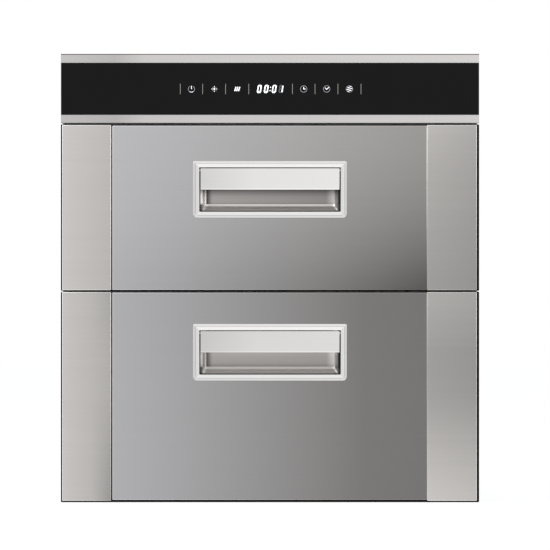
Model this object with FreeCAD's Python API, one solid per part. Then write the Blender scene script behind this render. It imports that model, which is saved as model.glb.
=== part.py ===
"""Built-in dish sterilizer cabinet with two drawers, in millimetres.

X runs across the cabinet, Y runs back and Z up.  The origin is the middle of the whole
cabinet at floor level, and the fronts face -Y.  A place along Y is given as a depth behind
the face of the drawer fronts, so depth 0 is the steel face and the body lies at larger depths.
The function of each sub-part returns the list of its solids, and build() names the files.
"""
import FreeCAD, Part

import math
import os

Vector = FreeCAD.Vector
ALONG_X = Vector(1, 0, 0)
ALONG_Y = Vector(0, 1, 0)
ALONG_Z = Vector(0, 0, 1)

# ---------------------------------------------------------------- general clearances and sheets
SHEET = 1.0              # steel of the casing, liners and fronts
SEAT_GAP = 0.3           # between two pieces that are only laid together
PIN_CLEARANCE = 0.05     # radial, of a pin or shaft in its bore
WELD_BITE = 0.4          # how far welded wires sink into each other
WELD_GAP = 0.1           # between the basket's floor and its upright sides

# ---------------------------------------------------------------- the front, seen from outside
FRONT_WIDTH = 595.0
FLOOR_GAP = 1.0          # under the lower drawer front
PAN_EDGE = 0.9           # black edge above and below each front
PAN_SIDE = 1.8           # black edge at the left and right of each front
LOWER_FRONT_HEIGHT = 297.0
UPPER_FRONT_HEIGHT = 235.0
SHUT_LINE = 1.2          # air between the two fronts
CONTROL_GAP = 2.0        # air between the upper front and the control panel
CONTROL_HEIGHT = 98.2
CENTRE_WIDTH = 449.0
LEFT_GROOVE = 2.0        # open groove beside the left stile
RIGHT_JOINT = 0.4        # closed joint beside the right stile

# ---------------------------------------------------------------- thickness of a drawer front
SKIN_RETURN = 9.0        # folded edge of the stiles and centre panels
SKIN_CHAMFER = 0.5
PAN_SETBACK = 1.0        # the pan's rim lies this far behind the steel face
PAN_THICKNESS = 22.0
PAN_BACK = 1.2
INNER_PANEL_MARGIN = 4.0
GASKET_THICKNESS = 3.8
GASKET_WIDTH = 12.0
GASKET_MARGIN = 8.0      # from the chamber's opening to the gasket
SEAL_GAP = 0.2

# ---------------------------------------------------------------- flush pull handle
HANDLE_WIDTH = 219.0
HANDLE_HEIGHT = 81.0
UPPER_HANDLE_DROP = 51.4  # from the top of the front to the top of the handle
LOWER_HANDLE_DROP = 45.0
BEZEL_WIDTH = 9.0
BEZEL_PROUD = 2.0
BEZEL_STEP_WIDTH = 4.0   # outer, lower step of the bezel
BEZEL_STEP_DROP = 0.8
BEZEL_CHAMFER = 0.4
BEZEL_TOP_RADIUS = 2.5
BEZEL_FOOT_RADIUS = 6.0
HANDLE_WALL = 1.5
CUTOUT_GAP = 0.5         # between the handle's spigot and the hole in the centre panel
MOUTH_DEPTH = 6.0        # straight part of the recess
BOWL_DEPTH = 17.0        # from the steel face to the back of the recess
BOWL_SIDE_DRAFT = 11.0
BOWL_FOOT_DRAFT = 11.0
BOWL_TOP_DRAFT = 2.0
FLAP_HEIGHT = 30.5
FLAP_SIDE_GAP = 0.8
FLAP_TOP_GAP = 1.2
FLAP_SETBACK = 1.0       # the flap's face lies this far behind the bezel's
FLAP_SHEET = 1.6
FLAP_GRIP = 5.0          # thickness of the grip along its lower edge
FLAP_GRIP_HEIGHT = 4.0
FLAP_EDGE_RADIUS = 0.8
FLAP_TOP_CHAMFER = 0.5
FLAP_PIN_RADIUS = 1.5
FLAP_LUG = 2.8           # from the pin's axis to the faces of a lug
FLAP_LUG_LENGTH = 24.0
FLAP_LUG_INSET = 6.0     # from the flap's end to its outer lug
FLAP_PIN_GRIP = 1.2      # length of pin held in each side wall
SPRING_WIRE = 0.6
SPRING_TURNS = 3
SPRING_SIDES = 8         # straight stretches in one turn
SPRING_PITCH = 0.9
SPRING_CLEARANCE = 0.15  # between the coil and the pin
SPRING_LEG = 12.0
SPRING_HEEL = 7.0

# ---------------------------------------------------------------- chambers and casing
BODY_WIDTH = 550.0
BODY_DEPTH = 400.0
TOP_OVERHANG = 20.0      # the control panel stands this far above the casing
CHAMBER_WIDTH = 500.0
CHAMBER_DEPTH = 358.0
DOOR_LAP = 26.0          # how far a front laps past its chamber's opening
FRAME_SHEET = 1.2
FRAME_EDGE = 2.0         # the frame is this much narrower than the fronts, each side
FRAME_FOOT = 10.0        # lower edge of the frame above the floor
FRAME_TOP_DROP = 0.5
LINER_FLANGE = 11.0
FLANGE_GAP = 1.0         # between the liner's flange and the casing's
WOOL_THICKNESS = 24.0    # heat insulation above and below the lower chamber
WOOL_BACK = 12.0
FOOT_HEIGHT = 18.0
FOOT_HEX = 14.0          # half the width across the flats
FOOT_INSET_SIDE = 45.0
FOOT_INSET_FRONT = 40.0
BASE_LIP = 14.0          # folded edge of the base plate

# ---------------------------------------------------------------- holes that fix the cabinet in its niche
NICHE_HOLE_RADIUS = 2.25
NICHE_HOLE_INSET = 9.0   # from the frame's edge
NICHE_HOLE_LOW = 110.0
NICHE_HOLE_PITCH = 380.0

# ---------------------------------------------------------------- telescopic runners
RUNNER_LENGTH = 350.0
RUNNER_START = 4.0       # behind the frame's face
RUNNER_HEIGHT = 45.0
RUNNER_THICKNESS = 12.7
RUNNER_SHEET = 1.2
RUNNER_WEB_GAP = 1.0
BALL_DIAMETER = 2.8
BALL_GAP = 0.1           # running clearance of a ball to each race
CAGE_WIDTH = 4.4
CAGE_LENGTH = 110.0
CAGE_INSET = 14.0        # from the member's end to the row of balls
UPPER_RUNNER_RISE = 14.0  # from the chamber's floor to the runner
LOWER_RUNNER_RISE = 36.0

# ---------------------------------------------------------------- drawer arms and baskets
ARM_SHEET = 1.5
ARM_LEDGE = 16.0         # flange that the basket stands on
ARM_FOOT = 22.0          # flange screwed to the drawer front
ARM_OVERRUN = 8.0        # behind the end of the runner's front end stop
ARM_BAR_HEIGHT = 30.0
BASKET_SIDE_GAP = 2.0
BASKET_END_GAP = 2.5
UPPER_BASKET_HEIGHT = 95.0
LOWER_BASKET_HEIGHT = 105.0
RIM_WIRE = 5.0
BASKET_WIRE = 3.2
BASKET_CORNER = 24.0
FLOOR_WIRE_COUNT = 9     # the front and back uprights stand midway between them
SIDE_UPRIGHTS = 5
MIDRAIL_SHARE = 0.55     # height of the middle rail, as a share of the basket's height
PLATE_LOOPS = 8
PLATE_PITCH = 25.0
PLATE_LOOP_LENGTH = 210.0
PLATE_LOOP_HEIGHT = 58.0
PLATE_LOOP_SLANT = 16.0  # cut of the loop's two upper corners
PLATE_RAIL_WIRE = 4.0
PLATE_RACK_START = 14.0  # from the middle of the basket to the first loop

# ---------------------------------------------------------------- control panel
GLASS_HEIGHT = 73.0
GLASS_FOOT = 12.0        # steel below the glass
GLASS_THICKNESS = 4.0
GLASS_PROUD = 0.4
GLASS_GAP = 0.3
CONTROL_WINDOW_WIDTH = 284.0
CONTROL_WINDOW_HEIGHT = 52.0
KEY_FIRST = 47.2         # from the middle of the panel to the first key on each side
KEY_PITCH = 32.6
KEY_COUNT = 3
KEY_PAD = 8.0
DISPLAY_WIDTH = 46.0
DISPLAY_HEIGHT = 19.0
BOARD_THICKNESS = 1.6
BOARD_DEPTH = 10.0       # from the steel face to the display board
BOARD_MARGIN = 4.0
HOUSING_DEPTH = 24.0
HOUSING_WALL = 2.0
HOUSING_MARGIN = 5.0
BOSS_WIDTH = 7.0

# ---------------------------------------------------------------- electronics above the upper chamber
TRAY_RISE = 14.0
TRAY_LIP = 15.0
TRAY_START = 36.0        # behind the frame
TRAY_LENGTH = 340.0
POWER_BOARD_WIDTH = 210.0
POWER_BOARD_LENGTH = 150.0
POWER_BOARD_X = -110.0
POWER_BOARD_DEPTH = 110.0
POWER_BOARD_PARTS = (    # share of the way across, share of the way back, width, length, height
    (0.10, 0.15, 52.0, 44.0, 36.0),    # transformer
    (0.42, 0.15, 20.0, 16.0, 17.0),    # relays
    (0.55, 0.15, 20.0, 16.0, 17.0),
    (0.68, 0.15, 20.0, 16.0, 17.0),
    (0.42, 0.80, 70.0, 12.0, 11.0),    # terminals
)
STANDOFF_HEIGHT = 6.0
STANDOFF_INSET = 8.0
CAPACITOR_RADIUS = 7.0
CAPACITOR_HEIGHT = 28.0
STUB_WIDTH = 7.0
OZONE_WIDTH = 74.0
OZONE_LENGTH = 52.0
OZONE_HEIGHT = 30.0
OZONE_X = 110.0
OZONE_DEPTH = 170.0

# ---------------------------------------------------------------- lamp, heaters, blower and wiring
LAMP_RADIUS = 7.8
LAMP_LENGTH = 212.0
LAMP_STANDOFF = 14.0
LAMP_DROP = 15.0         # from the chamber's ceiling to the lamp
HOLDER_THICKNESS = 5.0
HOLDER_GRIP = 9.0
HOLDER_WALL = 2.5
QUARTZ_RADIUS = 5.5
QUARTZ_RISE = 16.0
QUARTZ_DEPTHS = (140.0, 265.0)
CERAMIC_LENGTH = 22.0
CERAMIC_WIDTH = 20.0
CERAMIC_SOCKET = 14.0    # length of tube held in each ceramic block
CERAMIC_FLOOR_GAP = 1.0
GUARD_WIRE = 3.2
GUARD_RISE = 28.0
GUARD_FRONT = 100.0
GUARD_BACK = 305.0
GUARD_SIDE_GAP = 30.0
GUARD_WIRE_COUNT = 7
BLOWER_WIDTH = 190.0
BLOWER_HEIGHT = 140.0
BLOWER_RISE = 26.0       # from the upper chamber's floor
BLOWER_DEPTH = 25.0
BLOWER_WALL = 1.2
WHEEL_RADIUS = 46.0
WHEEL_WIDTH = 15.0
WHEEL_START = 4.0        # behind the liner
WHEEL_BLADES = 12
WHEEL_HUB_RADIUS = 8.0
BLADE_THICKNESS = 1.4
BLADE_INNER = 22.0       # from the axis to the root of a blade
BLADE_SWEEP = 32.0       # degrees that a blade leans back from root to tip
WHEEL_RISE = 52.0        # from the blower housing's lower edge
SHAFT_RADIUS = 2.5
SHAFT_HOLE = 5.0
MOTOR_WIDTH = 54.0
MOTOR_LENGTH = 12.0
MOTOR_CORNER = 8.0
MOTOR_FLOOR = 2.0
HEATER_WIDTH = 120.0
HEATER_HEIGHT = 22.0
HEATER_FINS = 10
THERMOSTAT_RADIUS = 8.0
THERMOSTAT_HEIGHT = 7.0
THERMOSTAT_X = 120.0
THERMOSTAT_RISE = 120.0
POCKET_MARGIN = 2.0      # of the hole in the wool round the thermostat
TERMINAL_SHEET = 0.8
TERMINAL_WIDTH = 6.3
TERMINAL_LENGTH = 7.0
SWITCH_X = 205.0
SWITCH_WIDTH = 30.0
SWITCH_HEIGHT = 14.0
SWITCH_LENGTH = 9.0
GLAND_X = -215.0
GLAND_Z = 70.0
GLAND_BORE = 4.2
GLAND_SHANK = 8.0
GLAND_HEX = 11.0         # half the width across the flats of its head
GLAND_HEAD = 4.0
GLAND_TAIL = 12.0
SCREW_RADIUS = 1.7
SCREW_HOLE = 2.0
SCREW_HEAD = 3.5         # half the width across the flats
SCREW_HEAD_HEIGHT = 2.4
SCREW_TAIL = 5.0
SCREW_ROWS = 2
SCREW_INSET = 40.0
CLIP_SLOT = 9.0          # square hole for the clip nut behind each screw
VENT_SLOTS = 6
VENT_WIDTH = 5.0
VENT_PITCH = 14.0
VENT_LENGTH = 80.0
INLET_SLOTS = 7
INLET_PITCH = 10.0
INLET_WIDTH = 4.0

# ---------------------------------------------------------------- heights worked out from the above
LOWER_PAN_FOOT = FLOOR_GAP
LOWER_PAN_TOP = LOWER_PAN_FOOT + LOWER_FRONT_HEIGHT + 2 * PAN_EDGE
UPPER_PAN_FOOT = LOWER_PAN_TOP + SHUT_LINE
UPPER_PAN_TOP = UPPER_PAN_FOOT + UPPER_FRONT_HEIGHT + 2 * PAN_EDGE
CONTROL_FOOT = UPPER_PAN_TOP + CONTROL_GAP
TOTAL_HEIGHT = CONTROL_FOOT + CONTROL_HEIGHT
GLASS_BOTTOM = CONTROL_FOOT + GLASS_FOOT
GLASS_TOP = GLASS_BOTTOM + GLASS_HEIGHT
KEY_LINE = (GLASS_BOTTOM + GLASS_TOP) / 2
BASE_TOP = FOOT_HEIGHT + SHEET
WOOL_FOOT = BASE_TOP + SHEET + SEAT_GAP
LOWER_FLOOR = WOOL_FOOT + WOOL_THICKNESS + SEAT_GAP + SHEET
LOWER_CEILING = LOWER_PAN_TOP - DOOR_LAP
UPPER_FLOOR = UPPER_PAN_FOOT + DOOR_LAP
UPPER_CEILING = UPPER_PAN_TOP - DOOR_LAP
BODY_TOP = TOTAL_HEIGHT - TOP_OVERHANG
TRAY_FOOT = UPPER_CEILING + SHEET + TRAY_RISE

# ---------------------------------------------------------------- depths behind the steel face
PAN_REAR = PAN_SETBACK + PAN_THICKNESS
INNER_REAR = PAN_REAR + SHEET
FRAME_FACE = INNER_REAR + GASKET_THICKNESS + SEAL_GAP
BODY_FRONT = FRAME_FACE + FRAME_SHEET
BODY_BACK = BODY_FRONT + BODY_DEPTH
LINER_BACK = BODY_FRONT + CHAMBER_DEPTH
REAR_FACE = BODY_BACK + SHEET
OVERALL_DEPTH = BEZEL_PROUD + REAR_FACE + GLAND_HEAD
FACE_Y = BEZEL_PROUD - OVERALL_DEPTH / 2
RUNNER_FRONT = FRAME_FACE + RUNNER_START
RUNNER_BACK = RUNNER_FRONT + RUNNER_LENGTH
ARM_BACK = RUNNER_BACK - ARM_OVERRUN

# ---------------------------------------------------------------- half widths
FRONT_HALF = FRONT_WIDTH / 2
SKIN_HALF = FRONT_HALF - PAN_SIDE
CENTRE_HALF = CENTRE_WIDTH / 2
FRAME_HALF = FRONT_HALF - FRAME_EDGE
BODY_HALF = BODY_WIDTH / 2
CHAMBER_HALF = CHAMBER_WIDTH / 2
CASE_FLANGE = BODY_HALF - CHAMBER_HALF - LINER_FLANGE - FLANGE_GAP
ARM_FACE = CHAMBER_HALF - RUNNER_THICKNESS
ARM_INNER = ARM_FACE - ARM_SHEET
BASKET_HALF = ARM_INNER - BASKET_SIDE_GAP


def y_at(depth):
    """Y of the plane that lies this far behind the face of the drawer fronts."""
    return FACE_Y + depth


# ================================================================ shapes used by many pieces
def block(x0, x1, d0, d1, z0, z1):
    """Box between two X, two depths and two heights."""
    return Part.makeBox(x1 - x0, d1 - d0, z1 - z0, Vector(x0, y_at(d0), z0))


def outline(x0, x1, z0, z1, depth, foot_radius, top_radius):
    """Closed wire in the plane of one depth: a rectangle with its lower and upper corners rounded."""
    y = y_at(depth)
    corners = [
        (x0, z0, foot_radius, 180), (x1, z0, foot_radius, 270),
        (x1, z1, top_radius, 0), (x0, z1, top_radius, 90),
    ]
    rounds = []
    for x, z, radius, start in corners:
        cx = x + radius if x == x0 else x - radius
        cz = z + radius if z == z0 else z - radius
        points = []
        for angle in (start, start + 45, start + 90):
            turn = math.radians(angle)
            points.append(Vector(cx + radius * math.cos(turn), y, cz + radius * math.sin(turn)))
        rounds.append(points)
    edges = []
    for index, points in enumerate(rounds):
        following = rounds[(index + 1) % len(rounds)]
        edges.append(Part.Arc(*points).toShape())
        edges.append(Part.LineSegment(points[2], following[0]).toShape())
    return Part.Wire(edges)


def rectangle(x0, x1, z0, z1, depth):
    """Closed wire of a rectangle in the plane of one depth."""
    y = y_at(depth)
    corners = [Vector(x0, y, z0), Vector(x1, y, z0), Vector(x1, y, z1), Vector(x0, y, z1)]
    return Part.makePolygon(corners + [corners[0]])


def plate(x0, x1, z0, z1, d0, d1, foot_radius, top_radius=None):
    """Upright plate with rounded corners between two depths."""
    top = foot_radius if top_radius is None else top_radius
    face = Part.Face(outline(x0, x1, z0, z1, d0, foot_radius, top))
    return face.extrude(Vector(0, d1 - d0, 0))


def tray(x0, x1, d0, d1, z0, z1, wall):
    """Tray open to the front: a back wall and four sides of one thickness."""
    shell = block(x0, x1, d0, d1, z0, z1)
    hollow = block(x0 + wall, x1 - wall, d0 - wall, d1 - wall, z0 + wall, z1 - wall)
    return shell.cut(hollow)


def cylinder_y(radius, x, z, d0, d1):
    """Cylinder along Y between two depths."""
    return Part.makeCylinder(radius, d1 - d0, Vector(x, y_at(d0), z), ALONG_Y)


def cylinder_x(radius, x0, x1, depth, z):
    """Cylinder along X between two X."""
    return Part.makeCylinder(radius, x1 - x0, Vector(x0, y_at(depth), z), ALONG_X)


def cylinder_z(radius, x, depth, z0, z1):
    """Cylinder along Z between two heights."""
    return Part.makeCylinder(radius, z1 - z0, Vector(x, y_at(depth), z0), ALONG_Z)


def prism_z(points, z0, z1):
    """Upright prism over a level outline of (x, depth) points."""
    corners = [Vector(x, y_at(depth), z0) for x, depth in points]
    return Part.Face(Part.makePolygon(corners + [corners[0]])).extrude(Vector(0, 0, z1 - z0))


def prism_x(points, x0, x1):
    """Prism along X over an outline of (depth, z) points."""
    corners = [Vector(x0, y_at(depth), z) for depth, z in points]
    return Part.Face(Part.makePolygon(corners + [corners[0]])).extrude(Vector(x1 - x0, 0, 0))


def hexagon_y(flat, x, z, d0, d1):
    """Hexagonal prism along Y, flat from its axis to each side."""
    reach = flat / math.cos(math.radians(30))
    corners = [Vector(x + reach * math.cos(math.radians(60 * side)), y_at(d0),
                      z + reach * math.sin(math.radians(60 * side))) for side in range(6)]
    return Part.Face(Part.makePolygon(corners + [corners[0]])).extrude(Vector(0, d1 - d0, 0))


def hexagon_z(flat, x, depth, z0, z1):
    """Upright hexagonal prism, flat from its axis to each side."""
    reach = flat / math.cos(math.radians(30))
    corners = [(x + reach * math.cos(math.radians(60 * side)),
                depth + reach * math.sin(math.radians(60 * side))) for side in range(6)]
    return prism_z(corners, z0, z1)


def wire_x(x0, x1, depth, z, size):
    """Wire along X, drawn with a square section."""
    half = size / 2
    return block(x0, x1, depth - half, depth + half, z - half, z + half)


def wire_y(x, d0, d1, z, size):
    """Wire along Y, drawn with a square section."""
    half = size / 2
    return block(x - half, x + half, d0, d1, z - half, z + half)


def wire_z(x, depth, z0, z1, size):
    """Wire along Z, drawn with a square section."""
    half = size / 2
    return block(x - half, x + half, depth - half, depth + half, z0, z1)


def fuse(solids):
    """One solid from solids that meet or bite into each other."""
    joined = solids[0].multiFuse(solids[1:])
    return joined.removeSplitter().Solids


def spread(first, last, count):
    """count places, evenly spaced from first to last."""
    if count == 1:
        return [(first + last) / 2]
    step = (last - first) / (count - 1)
    return [first + step * index for index in range(count)]


def midway(places):
    """The middle of each gap between neighbouring places."""
    return [(first + second) / 2 for first, second in zip(places, places[1:])]


def slots_along_z(xs, z0, z1, d0, d1, width):
    """Upright slots, as solids to cut away."""
    return [block(x - width / 2, x + width / 2, d0, d1, z0, z1) for x in xs]


def slots_along_x(x0, x1, zs, d0, d1, width):
    """Level slots, as solids to cut away."""
    return [block(x0, x1, d0, d1, z - width / 2, z + width / 2) for z in zs]


def cut_all(solid, tools):
    """solid with every tool cut away."""
    return solid.cut(tools) if tools else solid


def edges_at_depth(solid, depth):
    """Edges of a solid that lie in the plane of one depth."""
    return [edge for edge in solid.Edges
            if abs(edge.BoundBox.YMin - y_at(depth)) < 0.01
            and abs(edge.BoundBox.YMax - y_at(depth)) < 0.01]


# ================================================================ drawer fronts
class Front:
    """Places that belong to one drawer: its front, its handle, its chamber and its runners."""

    def __init__(self, pan_foot, pan_top, handle_drop, chamber_floor, chamber_ceiling,
                 runner_rise, basket_height):
        self.pan_foot = pan_foot
        self.pan_top = pan_top
        self.skin_foot = pan_foot + PAN_EDGE
        self.skin_top = pan_top - PAN_EDGE
        self.handle_top = self.skin_top - handle_drop
        self.handle_foot = self.handle_top - HANDLE_HEIGHT
        self.mouth_top = self.handle_top - BEZEL_WIDTH
        self.mouth_foot = self.handle_foot + BEZEL_WIDTH
        self.floor = chamber_floor
        self.ceiling = chamber_ceiling
        self.runner_foot = chamber_floor + runner_rise
        self.runner_top = self.runner_foot + RUNNER_HEIGHT
        self.runner_mid = (self.runner_foot + self.runner_top) / 2
        self.basket_foot = self.runner_foot + ARM_SHEET
        self.basket_top = self.basket_foot + basket_height


UPPER = Front(UPPER_PAN_FOOT, UPPER_PAN_TOP, UPPER_HANDLE_DROP, UPPER_FLOOR, UPPER_CEILING,
              UPPER_RUNNER_RISE, UPPER_BASKET_HEIGHT)
LOWER = Front(LOWER_PAN_FOOT, LOWER_PAN_TOP, LOWER_HANDLE_DROP, LOWER_FLOOR, LOWER_CEILING,
              LOWER_RUNNER_RISE, LOWER_BASKET_HEIGHT)

MOUTH_HALF = HANDLE_WIDTH / 2 - BEZEL_WIDTH
FLAP_HALF = MOUTH_HALF - FLAP_SIDE_GAP
FLAP_FACE = FLAP_SETBACK - BEZEL_PROUD
SPRING_RADIUS = FLAP_PIN_RADIUS + SPRING_CLEARANCE + SPRING_WIRE / 2
SPRING_REACH = SPRING_RADIUS / math.cos(math.pi / SPRING_SIDES)
FLAP_PIN_DEPTH = FLAP_FACE + FLAP_SHEET + SEAT_GAP + SPRING_REACH + SPRING_WIRE / 2


def skin(x0, x1, front):
    """Folded sheet-steel skin: a face with four returned edges, eased where they meet it."""
    foot, top = front.skin_foot, front.skin_top
    shell = block(x0, x1, 0, SKIN_RETURN, foot, top)
    hollow = block(x0 + SHEET, x1 - SHEET, SHEET, SKIN_RETURN + 1, foot + SHEET, top - SHEET)
    sheet = shell.cut(hollow)
    return sheet.makeChamfer(SKIN_CHAMFER, edges_at_depth(sheet, 0))


def stiles(front):
    """Left and right steel stiles of one front."""
    return [
        skin(-SKIN_HALF, -CENTRE_HALF - LEFT_GROOVE, front),
        skin(CENTRE_HALF + RIGHT_JOINT, SKIN_HALF, front),
    ]


def centre_panel(front):
    """Wide middle panel of one front, with the hole that the handle drops into."""
    spigot = HANDLE_WALL + CUTOUT_GAP
    hole = block(-MOUTH_HALF - spigot, MOUTH_HALF + spigot, -SHEET, SHEET * 2,
                 front.mouth_foot - spigot, front.mouth_top + spigot)
    return [skin(-CENTRE_HALF, CENTRE_HALF, front).cut(hole)]


def door_pan(front):
    """Black tray behind the skins; its rim shows as a dark line round the front."""
    shell = block(-FRONT_HALF, FRONT_HALF, PAN_SETBACK, PAN_REAR, front.pan_foot, front.pan_top)
    hollow = block(-SKIN_HALF, SKIN_HALF, PAN_SETBACK - 1, PAN_REAR - PAN_BACK,
                   front.skin_foot, front.skin_top)
    return [shell.cut(hollow)]


def inner_panel(front):
    """Stainless back skin of one front."""
    x = FRONT_HALF - INNER_PANEL_MARGIN
    return [block(-x, x, PAN_REAR, INNER_REAR, front.pan_foot + INNER_PANEL_MARGIN,
                  front.pan_top - INNER_PANEL_MARGIN)]


def gasket(front):
    """Silicone seal on the back of one front, round its chamber's opening."""
    inner = CHAMBER_HALF + GASKET_MARGIN
    outer = inner + GASKET_WIDTH
    lift = GASKET_MARGIN + GASKET_WIDTH
    rear = INNER_REAR + GASKET_THICKNESS
    ring = block(-outer, outer, INNER_REAR, rear, front.floor - lift, front.ceiling + lift)
    hole = block(-inner, inner, INNER_REAR - 1, rear + 1, front.floor - GASKET_MARGIN,
                 front.ceiling + GASKET_MARGIN)
    return [ring.cut(hole)]


def recess(front, offset):
    """Hollow of the handle, grown by offset: straight at the mouth, then tapered to its back."""
    half = MOUTH_HALF + offset
    foot = front.mouth_foot - offset
    top = front.mouth_top + offset
    mouth = block(-half, half, -BEZEL_PROUD - 1, MOUTH_DEPTH, foot, top)
    near = rectangle(-half, half, foot, top, MOUTH_DEPTH)
    far = rectangle(-half + BOWL_SIDE_DRAFT, half - BOWL_SIDE_DRAFT, foot + BOWL_FOOT_DRAFT,
                    top - BOWL_TOP_DRAFT, BOWL_DEPTH + offset)
    return fuse([mouth, Part.makeLoft([near, far], True, True)])[0]


def handle_housing(front):
    """Cast handle: a stepped bezel on the front and a tapered finger bowl behind it."""
    half = HANDLE_WIDTH / 2
    step = BEZEL_STEP_WIDTH
    low_face = BEZEL_STEP_DROP - BEZEL_PROUD
    flange = plate(-half, half, front.handle_foot, front.handle_top, low_face, 0,
                   BEZEL_FOOT_RADIUS, BEZEL_TOP_RADIUS)
    flange = flange.makeChamfer(BEZEL_CHAMFER, edges_at_depth(flange, low_face))
    band = plate(-half + step, half - step, front.handle_foot + step, front.handle_top - step,
                 -BEZEL_PROUD, 0, BEZEL_FOOT_RADIUS - step / 2, BEZEL_TOP_RADIUS - step / 4)
    band = band.makeChamfer(BEZEL_CHAMFER, edges_at_depth(band, -BEZEL_PROUD))
    outer = recess(front, HANDLE_WALL)
    spigot = outer.common(block(-half, half, 0, PAN_REAR, front.handle_foot, front.handle_top))
    body = fuse([flange, band, spigot])[0].cut(recess(front, 0))
    grip = MOUTH_HALF + FLAP_PIN_GRIP
    bore = cylinder_x(FLAP_PIN_RADIUS + PIN_CLEARANCE, -grip, grip, FLAP_PIN_DEPTH,
                      pin_height(front))
    return [body.cut(bore)]


def pin_height(front):
    """Height of the flap's pin, just below the top of the mouth."""
    return front.mouth_top - FLAP_TOP_GAP - FLAP_LUG


def handle_flap(front):
    """Pull flap: a plate with a thick grip below and two lugs for its pin above."""
    top = front.mouth_top - FLAP_TOP_GAP
    foot = top - FLAP_HEIGHT
    back = FLAP_FACE + FLAP_SHEET
    cut = FLAP_TOP_CHAMFER
    grip_top = foot + FLAP_GRIP_HEIGHT
    section = [(FLAP_FACE, foot), (FLAP_FACE + FLAP_GRIP, foot), (FLAP_FACE + FLAP_GRIP, grip_top),
               (back, grip_top), (back, top), (FLAP_FACE + cut, top), (FLAP_FACE, top - cut)]
    pieces = [prism_x(section, -FLAP_HALF, FLAP_HALF)]
    z = pin_height(front)
    reach = FLAP_HALF - FLAP_LUG_INSET
    for start in (-reach, reach - FLAP_LUG_LENGTH):
        pieces.append(block(start, start + FLAP_LUG_LENGTH, FLAP_FACE + FLAP_SHEET / 2,
                            FLAP_PIN_DEPTH + FLAP_LUG, z - FLAP_LUG, top))
    flap = fuse(pieces)[0]
    bore = cylinder_x(FLAP_PIN_RADIUS + PIN_CLEARANCE, -FLAP_HALF - 1, FLAP_HALF + 1,
                      FLAP_PIN_DEPTH, z)
    flap = flap.cut(bore)
    grip_edges = [edge for edge in flap.Edges
                  if edge.BoundBox.XLength > FLAP_HALF
                  and edge.BoundBox.ZMax < foot + 0.01]
    return [flap.makeFillet(FLAP_EDGE_RADIUS, grip_edges)]


def handle_pin(front):
    """Steel pin of the flap, held in blind holes in the handle's side walls."""
    reach = MOUTH_HALF + FLAP_PIN_GRIP - PIN_CLEARANCE
    return [cylinder_x(FLAP_PIN_RADIUS, -reach, reach, FLAP_PIN_DEPTH, pin_height(front))]


def handle_spring(front):
    """Torsion spring round the pin: one leg down the flap's back, one along the ceiling."""
    z = pin_height(front)
    steps = SPRING_TURNS * SPRING_SIDES
    start = -SPRING_PITCH * SPRING_TURNS / 2
    points = [Vector(start, y_at(FLAP_PIN_DEPTH - SPRING_RADIUS), z - SPRING_LEG)]
    for index in range(steps + 3):
        turn = 2 * math.pi * index / SPRING_SIDES
        x = start + SPRING_PITCH * index / SPRING_SIDES
        points.append(Vector(x, y_at(FLAP_PIN_DEPTH - SPRING_REACH * math.cos(turn)),
                             z + SPRING_REACH * math.sin(turn)))
    end = points[-1]
    points.append(Vector(end.x, end.y + SPRING_HEEL, end.z))
    half = SPRING_WIRE / 2
    foot = points[0]
    corners = [foot.add(Vector(dx, dy, 0)) for dx, dy in
               ((-half, -half), (half, -half), (half, half), (-half, half))]
    section = Part.makePolygon(corners + [corners[0]])
    path = Part.makePolygon(points)
    return [path.makePipeShell([section], True, False, 1)]


# ================================================================ runners, arms and baskets
def channel(side, web_x, tip_x, height, front, sheet):
    """C-shaped runner member: a web at web_x and two flanges that reach to tip_x."""
    inward = 1 if tip_x > web_x else -1
    foot = front.runner_mid - height / 2
    top = front.runner_mid + height / 2
    shell = ordered_block(side, web_x, tip_x, RUNNER_FRONT, RUNNER_BACK, foot, top)
    hollow = ordered_block(side, web_x + inward * sheet, tip_x + inward * sheet,
                           RUNNER_FRONT - 1, RUNNER_BACK + 1, foot + sheet, top - sheet)
    return shell.cut(hollow)


def ordered_block(side, xa, xb, d0, d1, z0, z1):
    """Box on the left (side -1) or right (side 1), from two distances to the middle plane."""
    x0, x1 = sorted((side * xa, side * xb))
    return block(x0, x1, d0, d1, z0, z1)


RACE_GAP = BALL_DIAMETER + 2 * BALL_GAP
MIDDLE_HEIGHT = RUNNER_HEIGHT - 2 * (RUNNER_SHEET + RACE_GAP)
MOVING_HEIGHT = MIDDLE_HEIGHT - 2 * (RUNNER_SHEET + RACE_GAP)
FIXED_TIP = ARM_FACE + 1.7
MIDDLE_WEB = CHAMBER_HALF - RUNNER_SHEET - RUNNER_WEB_GAP
MIDDLE_TIP = ARM_FACE + RUNNER_SHEET + BALL_GAP
MOVING_TIP = MIDDLE_WEB - RUNNER_SHEET - RUNNER_WEB_GAP - BALL_GAP


def runner_fixed(front):
    """Outer members, screwed to the chamber's walls."""
    return [channel(side, CHAMBER_HALF, FIXED_TIP, RUNNER_HEIGHT, front, RUNNER_SHEET)
            for side in (-1, 1)]


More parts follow.
